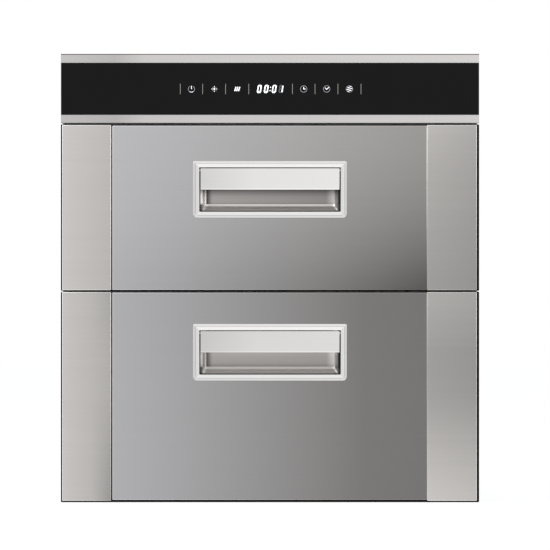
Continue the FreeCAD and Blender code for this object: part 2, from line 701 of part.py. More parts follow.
def runner_middle(front):
    """Middle members with their caged rows of balls, each drawn as one strip.

    The rows against the fixed members lie at the back half, those against the moving members in
    front, so that every row stays between its two races over the whole travel.
    """
    solids = []
    outer_start = RUNNER_BACK - CAGE_INSET - CAGE_LENGTH
    inner_start = RUNNER_FRONT + CAGE_INSET
    for side in (-1, 1):
        solids.append(channel(side, MIDDLE_WEB, MIDDLE_TIP, MIDDLE_HEIGHT, front, RUNNER_SHEET))
        rows = (
            (MIDDLE_HEIGHT / 2 + RACE_GAP / 2, outer_start, (FIXED_TIP + MIDDLE_WEB) / 2),
            (MOVING_HEIGHT / 2 + RACE_GAP / 2, inner_start, (MIDDLE_TIP + MOVING_TIP) / 2),
        )
        for rise, start, x in rows:
            for lift in (-rise, rise):
                z = front.runner_mid + lift
                solids.append(ordered_block(side, x - CAGE_WIDTH / 2, x + CAGE_WIDTH / 2, start,
                                            start + CAGE_LENGTH, z - BALL_DIAMETER / 2,
                                            z + BALL_DIAMETER / 2))
    return solids


def runner_moving(front):
    """Inner members, fastened to the drawer's arms."""
    return [channel(side, ARM_FACE, MOVING_TIP, MOVING_HEIGHT, front, RUNNER_SHEET)
            for side in (-1, 1)]


def drawer_arms(front):
    """Two folded arms from the front to the back of the drawer, and the bar that joins them."""
    solids = []
    for side in (-1, 1):
        web = ordered_block(side, ARM_INNER, ARM_FACE, INNER_REAR, ARM_BACK,
                            front.runner_foot, front.runner_top)
        ledge = ordered_block(side, ARM_FACE - ARM_LEDGE, ARM_FACE, INNER_REAR, ARM_BACK,
                              front.runner_foot, front.runner_foot + ARM_SHEET)
        foot = ordered_block(side, ARM_FACE - ARM_FOOT, ARM_FACE, INNER_REAR,
                             INNER_REAR + ARM_SHEET, front.runner_foot, front.runner_top)
        solids += fuse([web, ledge, foot])
    bar_foot = front.runner_foot + ARM_SHEET
    solids.append(block(-ARM_INNER, ARM_INNER, ARM_BACK - ARM_SHEET, ARM_BACK, bar_foot,
                        bar_foot + ARM_BAR_HEIGHT))
    return solids


class Basket:
    """Plan of one wire basket: where its frame wires run."""

    def __init__(self, front):
        inset = RIM_WIRE / 2
        self.foot = front.basket_foot
        self.half = BASKET_HALF - inset
        self.d0 = INNER_REAR + ARM_SHEET + BASKET_END_GAP + inset
        self.d1 = ARM_BACK - ARM_SHEET - BASKET_END_GAP - inset
        self.loop = self.foot + inset
        self.floor = self.foot + RIM_WIRE - WELD_BITE + BASKET_WIRE / 2
        self.rim = front.basket_top - inset
        self.mid = self.foot + (front.basket_top - self.foot) * MIDRAIL_SHARE
        self.inset = (RIM_WIRE + BASKET_WIRE) / 2 - WELD_BITE
        self.run_x = self.half - BASKET_CORNER
        self.run_d0 = self.d0 + BASKET_CORNER
        self.run_d1 = self.d1 - BASKET_CORNER
        self.side_x = self.half - inset - BASKET_WIRE / 2 - WELD_GAP
        self.end0 = self.d0 + inset + BASKET_WIRE / 2 + WELD_GAP
        self.end1 = self.d1 - inset - BASKET_WIRE / 2 - WELD_GAP


def basket_floor(basket):
    """Floor grid: a closed loop of thick wire with thin wires welded across it."""
    x, d0, d1, z = basket.half, basket.d0, basket.d1, basket.loop
    half = RIM_WIRE / 2
    outer = cut_rectangle(x + half, d0 - half, d1 + half, BASKET_CORNER)
    inner = cut_rectangle(x - half, d0 + half, d1 - half, BASKET_CORNER)
    loop = prism_z(outer, z - half, z + half).cut(prism_z(inner, z - half - 1, z + half + 1))
    wires = [loop]
    for place in floor_places(basket):
        wires.append(wire_y(place, d0 - half, d1 + half, basket.floor, BASKET_WIRE))
    reach = x - half
    between = midway(side_places(basket))
    ties = [wire_x(-reach, reach, depth, basket.floor - BASKET_WIRE, BASKET_WIRE)
            for depth in (between[0], between[-1])]
    return fuse(wires) + ties


def floor_places(basket):
    """X of every long floor wire."""
    return spread(-basket.run_x, basket.run_x, FLOOR_WIRE_COUNT)


def side_places(basket):
    """Depth of every upright in the left and right sides."""
    return spread(basket.run_d0, basket.run_d1, SIDE_UPRIGHTS + 2)[1:-1]


def cut_rectangle(x, d0, d1, cut):
    """Level outline of a rectangle from -x to x with its four corners cut off."""
    return [(x - cut, d0), (x, d0 + cut), (x, d1 - cut), (x - cut, d1),
            (cut - x, d1), (-x, d1 - cut), (-x, d0 + cut), (cut - x, d0)]


def basket_end(basket, depth, out):
    """Front or back side of a basket: rim and middle wire outside its uprights."""
    x = basket.run_x
    wires = [wire_x(-x, x, depth + out * basket.inset, basket.rim, RIM_WIRE)]
    for place in midway(floor_places(basket)):
        wires.append(wire_z(place, depth, basket.foot, basket.rim, BASKET_WIRE))
    return fuse(wires) + [wire_x(-x, x, depth + out * BASKET_WIRE, basket.mid, BASKET_WIRE)]


def basket_side(basket, x, out):
    """Left or right side of a basket: rim and middle wire outside its uprights."""
    d0, d1 = basket.run_d0, basket.run_d1
    wires = [wire_y(x + out * basket.inset, d0, d1, basket.rim, RIM_WIRE)]
    for place in side_places(basket):
        wires.append(wire_z(x, place, basket.foot, basket.rim, BASKET_WIRE))
    return fuse(wires) + [wire_y(x + out * BASKET_WIRE, d0, d1, basket.mid, BASKET_WIRE)]


def corner_wire(basket, side, back, offset, z, size):
    """Slanting stretch of one frame wire, from the end of one side to the start of the next."""
    turn = -1 if back else 1
    edge = (basket.end1 if back else basket.end0) - turn * offset
    run = basket.run_d1 if back else basket.run_d0
    x = basket.side_x + offset
    half = size / 2
    points = [(side * basket.run_x, edge - turn * half), (side * (x + half), run),
              (side * (x - half), run), (side * basket.run_x, edge + turn * half)]
    return prism_z(points, z - half, z + half)


def wire_basket(front):
    """Welded wire basket: floor grid, four upright sides and four corners."""
    basket = Basket(front)
    solids = basket_floor(basket)
    for out, depth in ((-1, basket.end0), (1, basket.end1)):
        solids += basket_end(basket, depth, out)
    for out in (-1, 1):
        solids += basket_side(basket, out * basket.side_x, out)
    rails = ((basket.inset, basket.rim, RIM_WIRE), (BASKET_WIRE, basket.mid, BASKET_WIRE))
    for side in (-1, 1):
        for back in (False, True):
            for offset, z, size in rails:
                solids.append(corner_wire(basket, side, back, offset, z, size))
    return solids


def plate_rack(front):
    """Plate rack on the basket's floor: bent loops that stand on two rails."""
    basket = Basket(front)
    rail_z = basket.floor + (BASKET_WIRE + PLATE_RAIL_WIRE) / 2
    middle = (basket.d0 + basket.d1) / 2
    near = middle - PLATE_LOOP_LENGTH / 2
    far = middle + PLATE_LOOP_LENGTH / 2
    first = PLATE_RACK_START
    last = first + PLATE_PITCH * (PLATE_LOOPS - 1)
    solids = [wire_x(first - PLATE_RAIL_WIRE, last + PLATE_RAIL_WIRE, depth, rail_z,
                     PLATE_RAIL_WIRE) for depth in (near, far)]
    foot = rail_z + PLATE_RAIL_WIRE / 2
    for index in range(PLATE_LOOPS):
        solids.append(plate_loop(first + index * PLATE_PITCH, near, far, foot))
    return solids


def plate_loop(x, near, far, foot):
    """One upright loop of the plate rack, bent from a single wire."""
    half = BASKET_WIRE / 2
    top = foot + PLATE_LOOP_HEIGHT
    slant = PLATE_LOOP_SLANT

    def arch(offset):
        cut = slant + offset * math.tan(math.radians(22.5))
        return [(near - offset, foot - 1 + half - offset), (near - offset, top + offset - cut),
                (near - offset + cut, top + offset), (far + offset - cut, top + offset),
                (far + offset, top + offset - cut), (far + offset, foot - 1 + half - offset)]

    shape = prism_x(arch(half), x - half, x + half).cut(prism_x(arch(-half), x - half - 1,
                                                                x + half + 1))
    return shape.common(block(x - half, x + half, near - half, far + half, foot, top + half))


# ================================================================ chambers and casing
def liner(front):
    """Stainless chamber: five walls and a flange that is clamped behind the front frame."""
    x = CHAMBER_HALF
    outer = block(-x - SHEET, x + SHEET, BODY_FRONT, LINER_BACK + SHEET, front.floor - SHEET,
                  front.ceiling + SHEET)
    lap = x + LINER_FLANGE
    flange = block(-lap, lap, BODY_FRONT, BODY_FRONT + SHEET, front.floor - LINER_FLANGE,
                   front.ceiling + LINER_FLANGE)
    hollow = block(-x, x, BODY_FRONT - 1, LINER_BACK, front.floor, front.ceiling)
    return fuse([outer, flange])[0].cut(hollow)


BLOWER_FOOT = UPPER.floor + BLOWER_RISE
BLOWER_TOP = BLOWER_FOOT + BLOWER_HEIGHT
WHEEL_Z = BLOWER_FOOT + WHEEL_RISE
BLOWER_BACK = LINER_BACK + SHEET + BLOWER_DEPTH
HEATER_TOP = BLOWER_TOP - BLOWER_WALL - SEAT_GAP
HEATER_FOOT = HEATER_TOP - HEATER_HEIGHT


def upper_liner():
    """Upper chamber, with slots for the drying air in its back wall."""
    inlet = []
    reach = WHEEL_RADIUS - INLET_PITCH / 2
    middle = (INLET_SLOTS - 1) / 2
    for index in range(INLET_SLOTS):
        x = (index - middle) * INLET_PITCH
        half = math.sqrt(reach ** 2 - x ** 2)
        inlet += slots_along_z([x], WHEEL_Z - half, WHEEL_Z + half, LINER_BACK - 1,
                               LINER_BACK + SHEET + 1, INLET_WIDTH)
    half = HEATER_WIDTH / 2
    outlet = slots_along_x(-half, half, spread(HEATER_FOOT + INLET_WIDTH,
                                               HEATER_TOP - INLET_WIDTH, 3),
                           LINER_BACK - 1, LINER_BACK + SHEET + 1, INLET_WIDTH)
    return [cut_all(liner(UPPER), inlet + outlet)]


def lower_liner():
    """Lower chamber, for the infrared heaters."""
    return [liner(LOWER)]


def lower_wool():
    """Mineral-wool jacket round the lower chamber, with a pocket for the thermostat."""
    x = BODY_HALF - SHEET - SEAT_GAP
    near = BODY_FRONT + SHEET + SEAT_GAP
    liner_outer = SHEET + SEAT_GAP
    wool_back = LINER_BACK + liner_outer + WOOL_BACK
    top = LOWER.ceiling + liner_outer + WOOL_THICKNESS
    jacket = block(-x, x, near, wool_back, WOOL_FOOT, top)
    chamber = block(-CHAMBER_HALF - liner_outer, CHAMBER_HALF + liner_outer, near - 1,
                    LINER_BACK + liner_outer, LOWER.floor - liner_outer,
                    LOWER.ceiling + liner_outer)
    half = THERMOSTAT_RADIUS + POCKET_MARGIN
    z = thermostat_height()
    pocket = block(THERMOSTAT_X - half, THERMOSTAT_X + half, LINER_BACK, wool_back + 1,
                   z - half, z + half)
    return [jacket.cut([chamber, pocket])]


def front_frame():
    """Pressed steel frame behind the fronts, with both openings and the four niche holes."""
    foot = FRAME_FOOT
    top = TOTAL_HEIGHT - FRAME_TOP_DROP
    frame = block(-FRAME_HALF, FRAME_HALF, FRAME_FACE, BODY_FRONT, foot, top)
    holes = [block(-CHAMBER_HALF, CHAMBER_HALF, FRAME_FACE - 1, BODY_FRONT + 1, front.floor,
                   front.ceiling) for front in (UPPER, LOWER)]
    x = FRAME_HALF - NICHE_HOLE_INSET
    for side in (-1, 1):
        for z in (NICHE_HOLE_LOW, NICHE_HOLE_LOW + NICHE_HOLE_PITCH):
            holes.append(cylinder_y(NICHE_HOLE_RADIUS, side * x, z, FRAME_FACE - 1,
                                    BODY_FRONT + 1))
    return [frame.cut(holes)]


def side_panels():
    """Left and right sides of the casing."""
    return [side_panel(-1), side_panel(1)]


def side_panel(side):
    """Casing side: a sheet with a flange turned in along all four edges."""
    foot, top = BASE_TOP, BODY_TOP - SHEET
    inner = BODY_HALF - SHEET
    web = ordered_block(side, inner, BODY_HALF, BODY_FRONT, BODY_BACK, foot, top)
    low = BODY_HALF - CASE_FLANGE
    flanges = [
        ordered_block(side, low, BODY_HALF, BODY_FRONT, BODY_BACK, foot, foot + SHEET),
        ordered_block(side, low, BODY_HALF, BODY_FRONT, BODY_BACK, top - SHEET, top),
        ordered_block(side, low, BODY_HALF, BODY_FRONT, BODY_FRONT + SHEET, foot, top),
        ordered_block(side, low, BODY_HALF, BODY_BACK - SHEET, BODY_BACK, foot, top),
    ]
    panel = fuse([web] + flanges)[0]
    half = CLIP_SLOT / 2
    x = screw_x()
    slots = [ordered_block(side, x - half, x + half, BODY_BACK - SHEET - 1, BODY_BACK + 1,
                           z - half, z + half) for z in screw_heights()]
    return panel.cut(slots)


def screw_x():
    """Distance of the rear screws from the middle plane."""
    return BODY_HALF - CASE_FLANGE / 2


def screw_heights():
    """Heights of the rear screws."""
    return spread(BASE_TOP + SCREW_INSET, BODY_TOP - SCREW_INSET, SCREW_ROWS)


def screw_hole(x, z):
    """Hole through the casing for one rear screw."""
    return cylinder_y(SCREW_HOLE, x, z, BODY_BACK - SHEET - 1, REAR_FACE + 1)


def base_plate():
    """Bottom of the casing, with its front and rear edges folded up and a seat for each foot."""
    foot = FOOT_HEIGHT
    x = BODY_HALF
    floor = block(-x, x, BODY_FRONT, BODY_BACK, foot, BASE_TOP)
    low = BODY_HALF - CASE_FLANGE - SEAT_GAP
    lips = [
        block(-low, low, BODY_FRONT, BODY_FRONT + SHEET, foot,
              min(foot + BASE_LIP, LOWER.floor - LINER_FLANGE - SEAT_GAP)),
        block(-low, low, BODY_BACK - SHEET, BODY_BACK, foot, foot + BASE_LIP),
    ]
    return fuse([floor] + lips)


def foot_places():
    """(x, depth) of the four feet."""
    x = BODY_HALF - FOOT_INSET_SIDE
    return [(sx * x, depth) for sx in (-1, 1)
            for depth in (BODY_FRONT + FOOT_INSET_FRONT, BODY_BACK - FOOT_INSET_FRONT)]


def feet():
    """Four hexagonal levelling feet."""
    return [hexagon_z(FOOT_HEX, x, depth, 0, FOOT_HEIGHT) for x, depth in foot_places()]


def top_cover():
    """Lid of the casing, with a row of cooling slots over the electronics."""
    cover = block(-BODY_HALF, BODY_HALF, BODY_FRONT, BODY_BACK, BODY_TOP - SHEET, BODY_TOP)
    middle = (BODY_FRONT + BODY_BACK) / 2
    tools = []
    first = -VENT_PITCH * (VENT_SLOTS - 1) / 2
    for index in range(VENT_SLOTS):
        x = first + index * VENT_PITCH
        tools.append(block(x - VENT_WIDTH / 2, x + VENT_WIDTH / 2, middle - VENT_LENGTH / 2,
                           middle + VENT_LENGTH / 2, BODY_TOP - SHEET - 1, BODY_TOP + 1))
    return [cut_all(cover, tools)]


def rear_panel():
    """Back of the casing: screw holes, the gland's hole and two fields of cooling slots."""
    panel = block(-BODY_HALF, BODY_HALF, BODY_BACK, REAR_FACE, FOOT_HEIGHT, BODY_TOP)
    tools = [screw_hole(side * screw_x(), z) for side in (-1, 1) for z in screw_heights()]
    tools.append(cylinder_y(GLAND_SHANK + SEAT_GAP / 2, GLAND_X, GLAND_Z, BODY_BACK - 1,
                            REAR_FACE + 1))
    middle = (VENT_SLOTS - 1) / 2
    vent_xs = [(index - middle) * VENT_PITCH for index in range(VENT_SLOTS)]
    near, far = BODY_BACK - 1, REAR_FACE + 1
    low = TRAY_FOOT + TRAY_LIP
    tools += slots_along_z(vent_xs, low, low + VENT_LENGTH / 2, near, far, VENT_WIDTH)
    tools += slots_along_z(vent_xs, WHEEL_Z - VENT_LENGTH / 2, WHEEL_Z + VENT_LENGTH / 2,
                           near, far, VENT_WIDTH)
    return [cut_all(panel, tools)]


def case_screws():
    """Hexagon-head screws that hold the rear panel to the sides."""
    solids = []
    for side in (-1, 1):
        for z in screw_heights():
            x = side * screw_x()
            shank = cylinder_y(SCREW_RADIUS, x, z, BODY_BACK - SCREW_TAIL, REAR_FACE)
            head = hexagon_y(SCREW_HEAD, x, z, REAR_FACE, REAR_FACE + SCREW_HEAD_HEIGHT)
            solids += fuse([shank, head])
    return solids


# ================================================================ control panel
def control_fascia():
    """Folded steel fascia with a shallow channel that the glass lies in."""
    x, foot, top = FRONT_HALF, CONTROL_FOOT, TOTAL_HEIGHT
    seat = GLASS_THICKNESS - GLASS_PROUD
    low = GLASS_BOTTOM - GLASS_GAP
    high = GLASS_TOP + GLASS_GAP
    body = block(-x, x, 0, FRAME_FACE, foot, top)
    hollow = block(-x + SHEET, x - SHEET, SHEET, FRAME_FACE + 1, foot + SHEET, top - SHEET)
    channel_shell = block(-x, x, 0, seat + SHEET, low - SHEET, high + SHEET)
    channel_hollow = block(-x + SHEET, x - SHEET, -1, seat, low, high)
    shell = fuse([body.cut(hollow), channel_shell])[0].cut(channel_hollow)
    window = block(-CONTROL_WINDOW_WIDTH / 2, CONTROL_WINDOW_WIDTH / 2, seat - 1,
                   seat + SHEET + 1, KEY_LINE - CONTROL_WINDOW_HEIGHT / 2,
                   KEY_LINE + CONTROL_WINDOW_HEIGHT / 2)
    return [shell.cut(window)]


def control_glass():
    """Black glass strip, laid in the fascia's channel."""
    x = FRONT_HALF - SHEET - GLASS_GAP
    seat = GLASS_THICKNESS - GLASS_PROUD
    return [block(-x, x, -GLASS_PROUD, seat, GLASS_BOTTOM, GLASS_TOP)]


HOUSING_FRONT = GLASS_THICKNESS - GLASS_PROUD + SHEET
BOARD_HALF = CONTROL_WINDOW_WIDTH / 2 - BOARD_MARGIN


def control_housing():
    """Plastic carrier behind the fascia, with bosses for the display board."""
    x = CONTROL_WINDOW_WIDTH / 2 + HOUSING_MARGIN
    half = CONTROL_WINDOW_HEIGHT / 2 + HOUSING_MARGIN
    shell = tray(-x, x, HOUSING_FRONT, HOUSING_DEPTH, KEY_LINE - half, KEY_LINE + half,
                 HOUSING_WALL)
    board_back = BOARD_DEPTH + BOARD_THICKNESS
    post_x = BOARD_HALF - BOSS_WIDTH
    post_z = CONTROL_WINDOW_HEIGHT / 2 - BOARD_MARGIN - BOSS_WIDTH
    radius = BOSS_WIDTH / 2
    bosses = [block(sx * post_x - radius, sx * post_x + radius, board_back,
                    HOUSING_DEPTH - HOUSING_WALL / 2, KEY_LINE + sz * post_z - radius,
                    KEY_LINE + sz * post_z + radius) for sx in (-1, 1) for sz in (-1, 1)]
    return fuse([shell] + bosses)


def display_board():
    """Circuit board behind the glass, with its six sensing pads."""
    half = CONTROL_WINDOW_HEIGHT / 2 - BOARD_MARGIN
    board = block(-BOARD_HALF, BOARD_HALF, BOARD_DEPTH, BOARD_DEPTH + BOARD_THICKNESS,
                  KEY_LINE - half, KEY_LINE + half)
    return [board] + touch_pads()


def led_display():
    """Four-digit display module on the board, just behind the glass."""
    near = GLASS_THICKNESS - GLASS_PROUD + SEAT_GAP
    return [block(-DISPLAY_WIDTH / 2, DISPLAY_WIDTH / 2, near, BOARD_DEPTH,
                  KEY_LINE - DISPLAY_HEIGHT / 2, KEY_LINE + DISPLAY_HEIGHT / 2)]


def touch_pads():
    """Six sensing pads that bridge from the board to the back of the glass."""
    near = GLASS_THICKNESS - GLASS_PROUD + SEAT_GAP
    places = [side * (KEY_FIRST + index * KEY_PITCH) for side in (-1, 1)
              for index in range(KEY_COUNT)]
    half = KEY_PAD / 2
    return [block(x - half, x + half, near, BOARD_DEPTH, KEY_LINE - half, KEY_LINE + half)
            for x in places]


# ================================================================ electronics
def board_tray():
    """Shelf between the casing's sides that carries the electronics."""
    x = BODY_HALF - SHEET
    near = BODY_FRONT + TRAY_START
    far = near + TRAY_LENGTH
    floor = block(-x, x, near, far, TRAY_FOOT, TRAY_FOOT + SHEET)
    lips = [ordered_block(side, x - SHEET, x, near, far, TRAY_FOOT, TRAY_FOOT + TRAY_LIP)
            for side in (-1, 1)]
    return fuse([floor] + lips)


def power_board():
    """Mains board on four standoffs, with its transformer, relays, capacitors and terminals."""
    x0 = POWER_BOARD_X - POWER_BOARD_WIDTH / 2
    x1 = x0 + POWER_BOARD_WIDTH
    d0 = POWER_BOARD_DEPTH
    d1 = d0 + POWER_BOARD_LENGTH
    base = TRAY_FOOT + SHEET
    foot = base + STANDOFF_HEIGHT
    top = foot + BOARD_THICKNESS
    solids = [block(x0, x1, d0, d1, foot, top)]
    for x in (x0 + STANDOFF_INSET, x1 - STANDOFF_INSET):
        for depth in (d0 + STANDOFF_INSET, d1 - STANDOFF_INSET):
            half = BOSS_WIDTH / 2
            solids.append(block(x - half, x + half, depth - half, depth + half, base, foot))
    width, length = POWER_BOARD_WIDTH, POWER_BOARD_LENGTH
    for across, back, size_x, size_d, height in POWER_BOARD_PARTS:
        px, pd = x0 + across * width, d0 + back * length
        solids.append(block(px, px + size_x, pd, pd + size_d, top, top + height))
    solids.append(cylinder_z(CAPACITOR_RADIUS, x0 + 0.5 * width, d0 + 0.5 * length, top,
                             top + CAPACITOR_HEIGHT))
    return solids


def ozone_generator():
    """Ozone cell: a sealed box with a flanged foot and an outlet stub."""
    x0, x1 = OZONE_X - OZONE_WIDTH / 2, OZONE_X + OZONE_WIDTH / 2
    d0, d1 = OZONE_DEPTH, OZONE_DEPTH + OZONE_LENGTH
    foot = TRAY_FOOT + SHEET
    lug = OZONE_WIDTH / 8
    body = block(x0, x1, d0, d1, foot, foot + OZONE_HEIGHT)
    flange = block(x0 - lug, x1 + lug, d0 + lug, d1 - lug, foot, foot + 2 * SHEET)
    half, middle = STUB_WIDTH / 2, (d0 + d1) / 2
    stub = block(OZONE_X - half, OZONE_X + half, middle - half, middle + half,
                 foot + OZONE_HEIGHT - 1, foot + OZONE_HEIGHT + STUB_WIDTH)
    return fuse([body, flange, stub])


# ================================================================ lamp, heaters and blower
LAMP_Z = UPPER.ceiling - LAMP_DROP
LAMP_CENTRE = LINER_BACK - LAMP_STANDOFF


def uv_lamp():
    """Ultraviolet tube across the back of the upper chamber."""
    half = LAMP_LENGTH / 2
    return [cylinder_x(LAMP_RADIUS, -half, half, LAMP_CENTRE, LAMP_Z)]


def lamp_holders():
    """Two sockets on the chamber's back wall, each slotted to take one end of the lamp."""
    half = LAMP_LENGTH / 2
    seat = LAMP_RADIUS + PIN_CLEARANCE
    near = LAMP_CENTRE - seat - HOLDER_WALL
    solids = []
    for side in (-1, 1):
        body = ordered_block(side, half - HOLDER_GRIP, half + HOLDER_THICKNESS, near, LINER_BACK,
                             LAMP_Z - seat - HOLDER_WALL, LAMP_Z + seat + HOLDER_WALL)
        slot = ordered_block(side, half - HOLDER_GRIP - 1, half + PIN_CLEARANCE, near - 1,
                             LAMP_CENTRE + seat, LAMP_Z - seat, LAMP_Z + seat)
        solids.append(body.cut(slot))
    return solids


QUARTZ_Z = LOWER.floor + QUARTZ_RISE
QUARTZ_HALF = CHAMBER_HALF - CERAMIC_LENGTH + CERAMIC_SOCKET


def quartz_tubes():
    """Far-infrared quartz heating tubes near the floor of the lower chamber."""
    return [cylinder_x(QUARTZ_RADIUS, -QUARTZ_HALF, QUARTZ_HALF, BODY_FRONT + depth, QUARTZ_Z)
            for depth in QUARTZ_DEPTHS]


def tube_holders():
    """Ceramic blocks on the chamber's side walls, each with a square slot for one tube's end."""
    solids = []
    half = CERAMIC_WIDTH / 2
    seat = QUARTZ_RADIUS + PIN_CLEARANCE
    for depth in QUARTZ_DEPTHS:
        middle = BODY_FRONT + depth
        for side in (-1, 1):
            body = ordered_block(side, CHAMBER_HALF - CERAMIC_LENGTH, CHAMBER_HALF, middle - half,
                                 middle + half, LOWER.floor + CERAMIC_FLOOR_GAP, QUARTZ_Z + half)
            slot = ordered_block(side, CHAMBER_HALF - CERAMIC_LENGTH - 1, QUARTZ_HALF + SEAT_GAP,
                                 middle - seat, middle + seat, QUARTZ_Z - seat,
                                 QUARTZ_Z + half + 1)
            solids.append(body.cut(slot))
    return solids


def tube_guard():
    """Wire guard over the heating tubes, standing on the chamber's floor on four legs."""
    x = CHAMBER_HALF - GUARD_SIDE_GAP
    d0, d1 = BODY_FRONT + GUARD_FRONT, BODY_FRONT + GUARD_BACK
    z = LOWER.floor + GUARD_RISE
    wires = [wire_x(-x, x, depth, z, GUARD_WIRE) for depth in (d0, d1)]
    cross = z + GUARD_WIRE - WELD_BITE
    for place in spread(-x + GUARD_WIRE, x - GUARD_WIRE, GUARD_WIRE_COUNT):
        wires.append(wire_y(place, d0 - GUARD_WIRE, d1 + GUARD_WIRE, cross, GUARD_WIRE))
    for sx in (-1, 1):
        for depth in (d0, d1):
            wires.append(wire_z(sx * (x - 4 * GUARD_WIRE), depth, LOWER.floor, z, GUARD_WIRE))
    return fuse(wires)


def blower_housing():
    """Duct box on the back of the upper chamber, open to it, with a hole for the shaft."""
    x = BLOWER_WIDTH / 2
    near = LINER_BACK + SHEET
    shell = tray(-x, x, near, BLOWER_BACK, BLOWER_FOOT, BLOWER_TOP, BLOWER_WALL)
    return [shell.cut(cylinder_y(SHAFT_HOLE, 0, WHEEL_Z, near, BLOWER_BACK + 1))]


def blower_motor():
    """Flat motor on the back of the duct, with the bearing bore for the shaft."""
    half = MOTOR_WIDTH / 2
    near, far = BLOWER_BACK, BLOWER_BACK + MOTOR_LENGTH
    body = block(-half, half, near, far, WHEEL_Z - half, WHEEL_Z + half)
    corners = [edge for edge in body.Edges if edge.BoundBox.YLength > MOTOR_LENGTH / 2]
    body = body.makeChamfer(MOTOR_CORNER, corners)
    bore = cylinder_y(SHAFT_RADIUS + PIN_CLEARANCE, 0, WHEEL_Z, near - 1, far - MOTOR_FLOOR)
    return [body.cut(bore)]


def blower_wheel():
    """Fan wheel with its shaft: a back disc, a hub and blades that lean back."""
    near = LINER_BACK + SHEET + WHEEL_START
    far = near + WHEEL_WIDTH
    disc_face = far - BLADE_THICKNESS
    disc = cylinder_y(WHEEL_RADIUS, 0, WHEEL_Z, disc_face, far)
    hub = cylinder_y(WHEEL_HUB_RADIUS, 0, WHEEL_Z, near, far)
    shaft_end = BLOWER_BACK + MOTOR_LENGTH - MOTOR_FLOOR - SEAT_GAP
    shaft = cylinder_y(SHAFT_RADIUS, 0, WHEEL_Z, far, shaft_end)
    pieces = [disc, hub, shaft]
    blade = wheel_blade(near, disc_face + BLADE_THICKNESS / 2)
    for index in range(WHEEL_BLADES):
        copy = blade.copy()
        copy.rotate(Vector(0, 0, WHEEL_Z), ALONG_Y, 360.0 * index / WHEEL_BLADES)
        pieces.append(copy)
    return fuse(pieces)


def wheel_blade(near, far):
    """One blade: a straight strip that leans back from its root to just inside the rim."""
    tip = WHEEL_RADIUS - BLADE_THICKNESS
    lean = math.radians(BLADE_SWEEP)
    root = (BLADE_INNER, 0.0)
    end = (tip * math.cos(lean), tip * math.sin(lean))
    run_x, run_z = end[0] - root[0], end[1] - root[1]
    length = math.hypot(run_x, run_z)
    side_x = -run_z / length * BLADE_THICKNESS / 2
    side_z = run_x / length * BLADE_THICKNESS / 2
    corners = [(root[0] + side_x, root[1] + side_z), (root[0] - side_x, root[1] - side_z),
               (end[0] - side_x, end[1] - side_z), (end[0] + side_x, end[1] + side_z)]
    points = [Vector(x, y_at(near), WHEEL_Z + z) for x, z in corners]
    return Part.Face(Part.makePolygon(points + [points[0]])).extrude(Vector(0, far - near, 0))


def drying_heater():
    """Finned heater in the upper part of the duct, against the air slots."""
    half = HEATER_WIDTH / 2
    near = LINER_BACK + SHEET + SEAT_GAP
    far = BLOWER_BACK - BLOWER_WALL - SEAT_GAP
    plates = [block(-half, half, near, far, z, z + BLADE_THICKNESS)
              for z in (HEATER_FOOT, HEATER_TOP - BLADE_THICKNESS)]
    for x in spread(-half, half - BLADE_THICKNESS, HEATER_FINS):
        plates.append(block(x, x + BLADE_THICKNESS, near, far, HEATER_FOOT, HEATER_TOP))
    return fuse(plates)


def thermostat_height():
    """Height of the thermostat on the lower chamber's back wall."""
    return LOWER.floor + THERMOSTAT_RISE


def thermostat():
    """Snap-disc thermostat on the lower chamber's back wall, with two flat terminals."""
    z = thermostat_height()
    near = LINER_BACK + SHEET
    far = near + THERMOSTAT_HEIGHT
    pieces = [cylinder_y(THERMOSTAT_RADIUS, THERMOSTAT_X, z, near, far)]
    for side in (-1, 1):
        x = THERMOSTAT_X + side * THERMOSTAT_RADIUS / 2
        pieces.append(block(x - TERMINAL_SHEET / 2, x + TERMINAL_SHEET / 2, far - 1,
                            far + TERMINAL_LENGTH, z - TERMINAL_WIDTH / 2,
                            z + TERMINAL_WIDTH / 2))
    return fuse(pieces)


def door_switches():
    """Two magnetic switches behind the frame's middle rail, one for each drawer."""
    z0 = UPPER.floor - LINER_FLANGE - SEAT_GAP - SWITCH_HEIGHT
    half = SWITCH_WIDTH / 2
    return [block(side * SWITCH_X - half, side * SWITCH_X + half, BODY_FRONT,
                  BODY_FRONT + SWITCH_LENGTH, z0, z0 + SWITCH_HEIGHT) for side in (-1, 1)]


def cord_gland():
    """Snap-in bush for the mains cord, with a hexagonal head outside the rear panel."""
    inner_end = BODY_BACK - GLAND_TAIL
    head_end = REAR_FACE + GLAND_HEAD
    head = hexagon_y(GLAND_HEX, GLAND_X, GLAND_Z, REAR_FACE, head_end)
    shank = cylinder_y(GLAND_SHANK, GLAND_X, GLAND_Z, inner_end, REAR_FACE)
    bore = cylinder_y(GLAND_BORE, GLAND_X, GLAND_Z, inner_end - 1, head_end + 1)
    return [fuse([head, shank])[0].cut(bore)]


# ================================================================ the whole cabinet
def drawer_nodes(name, front):
    """Every piece of one drawer and its runners, by node name."""
    return {
        name + "_stiles": stiles(front),
        name + "_centre_panel": centre_panel(front),
        name + "_door_pan": door_pan(front),
        name + "_inner_panel": inner_panel(front),
        name + "_gasket": gasket(front),
        name + "_handle_housing": handle_housing(front),
        name + "_handle_flap": handle_flap(front),
        name + "_handle_pin": handle_pin(front),
        name + "_handle_spring": handle_spring(front),
        name + "_runner_fixed": runner_fixed(front),
        name + "_runner_middle": runner_middle(front),
        name + "_runner_moving": runner_moving(front),
        name + "_drawer_arms": drawer_arms(front),
        name + "_basket": wire_basket(front),
    }


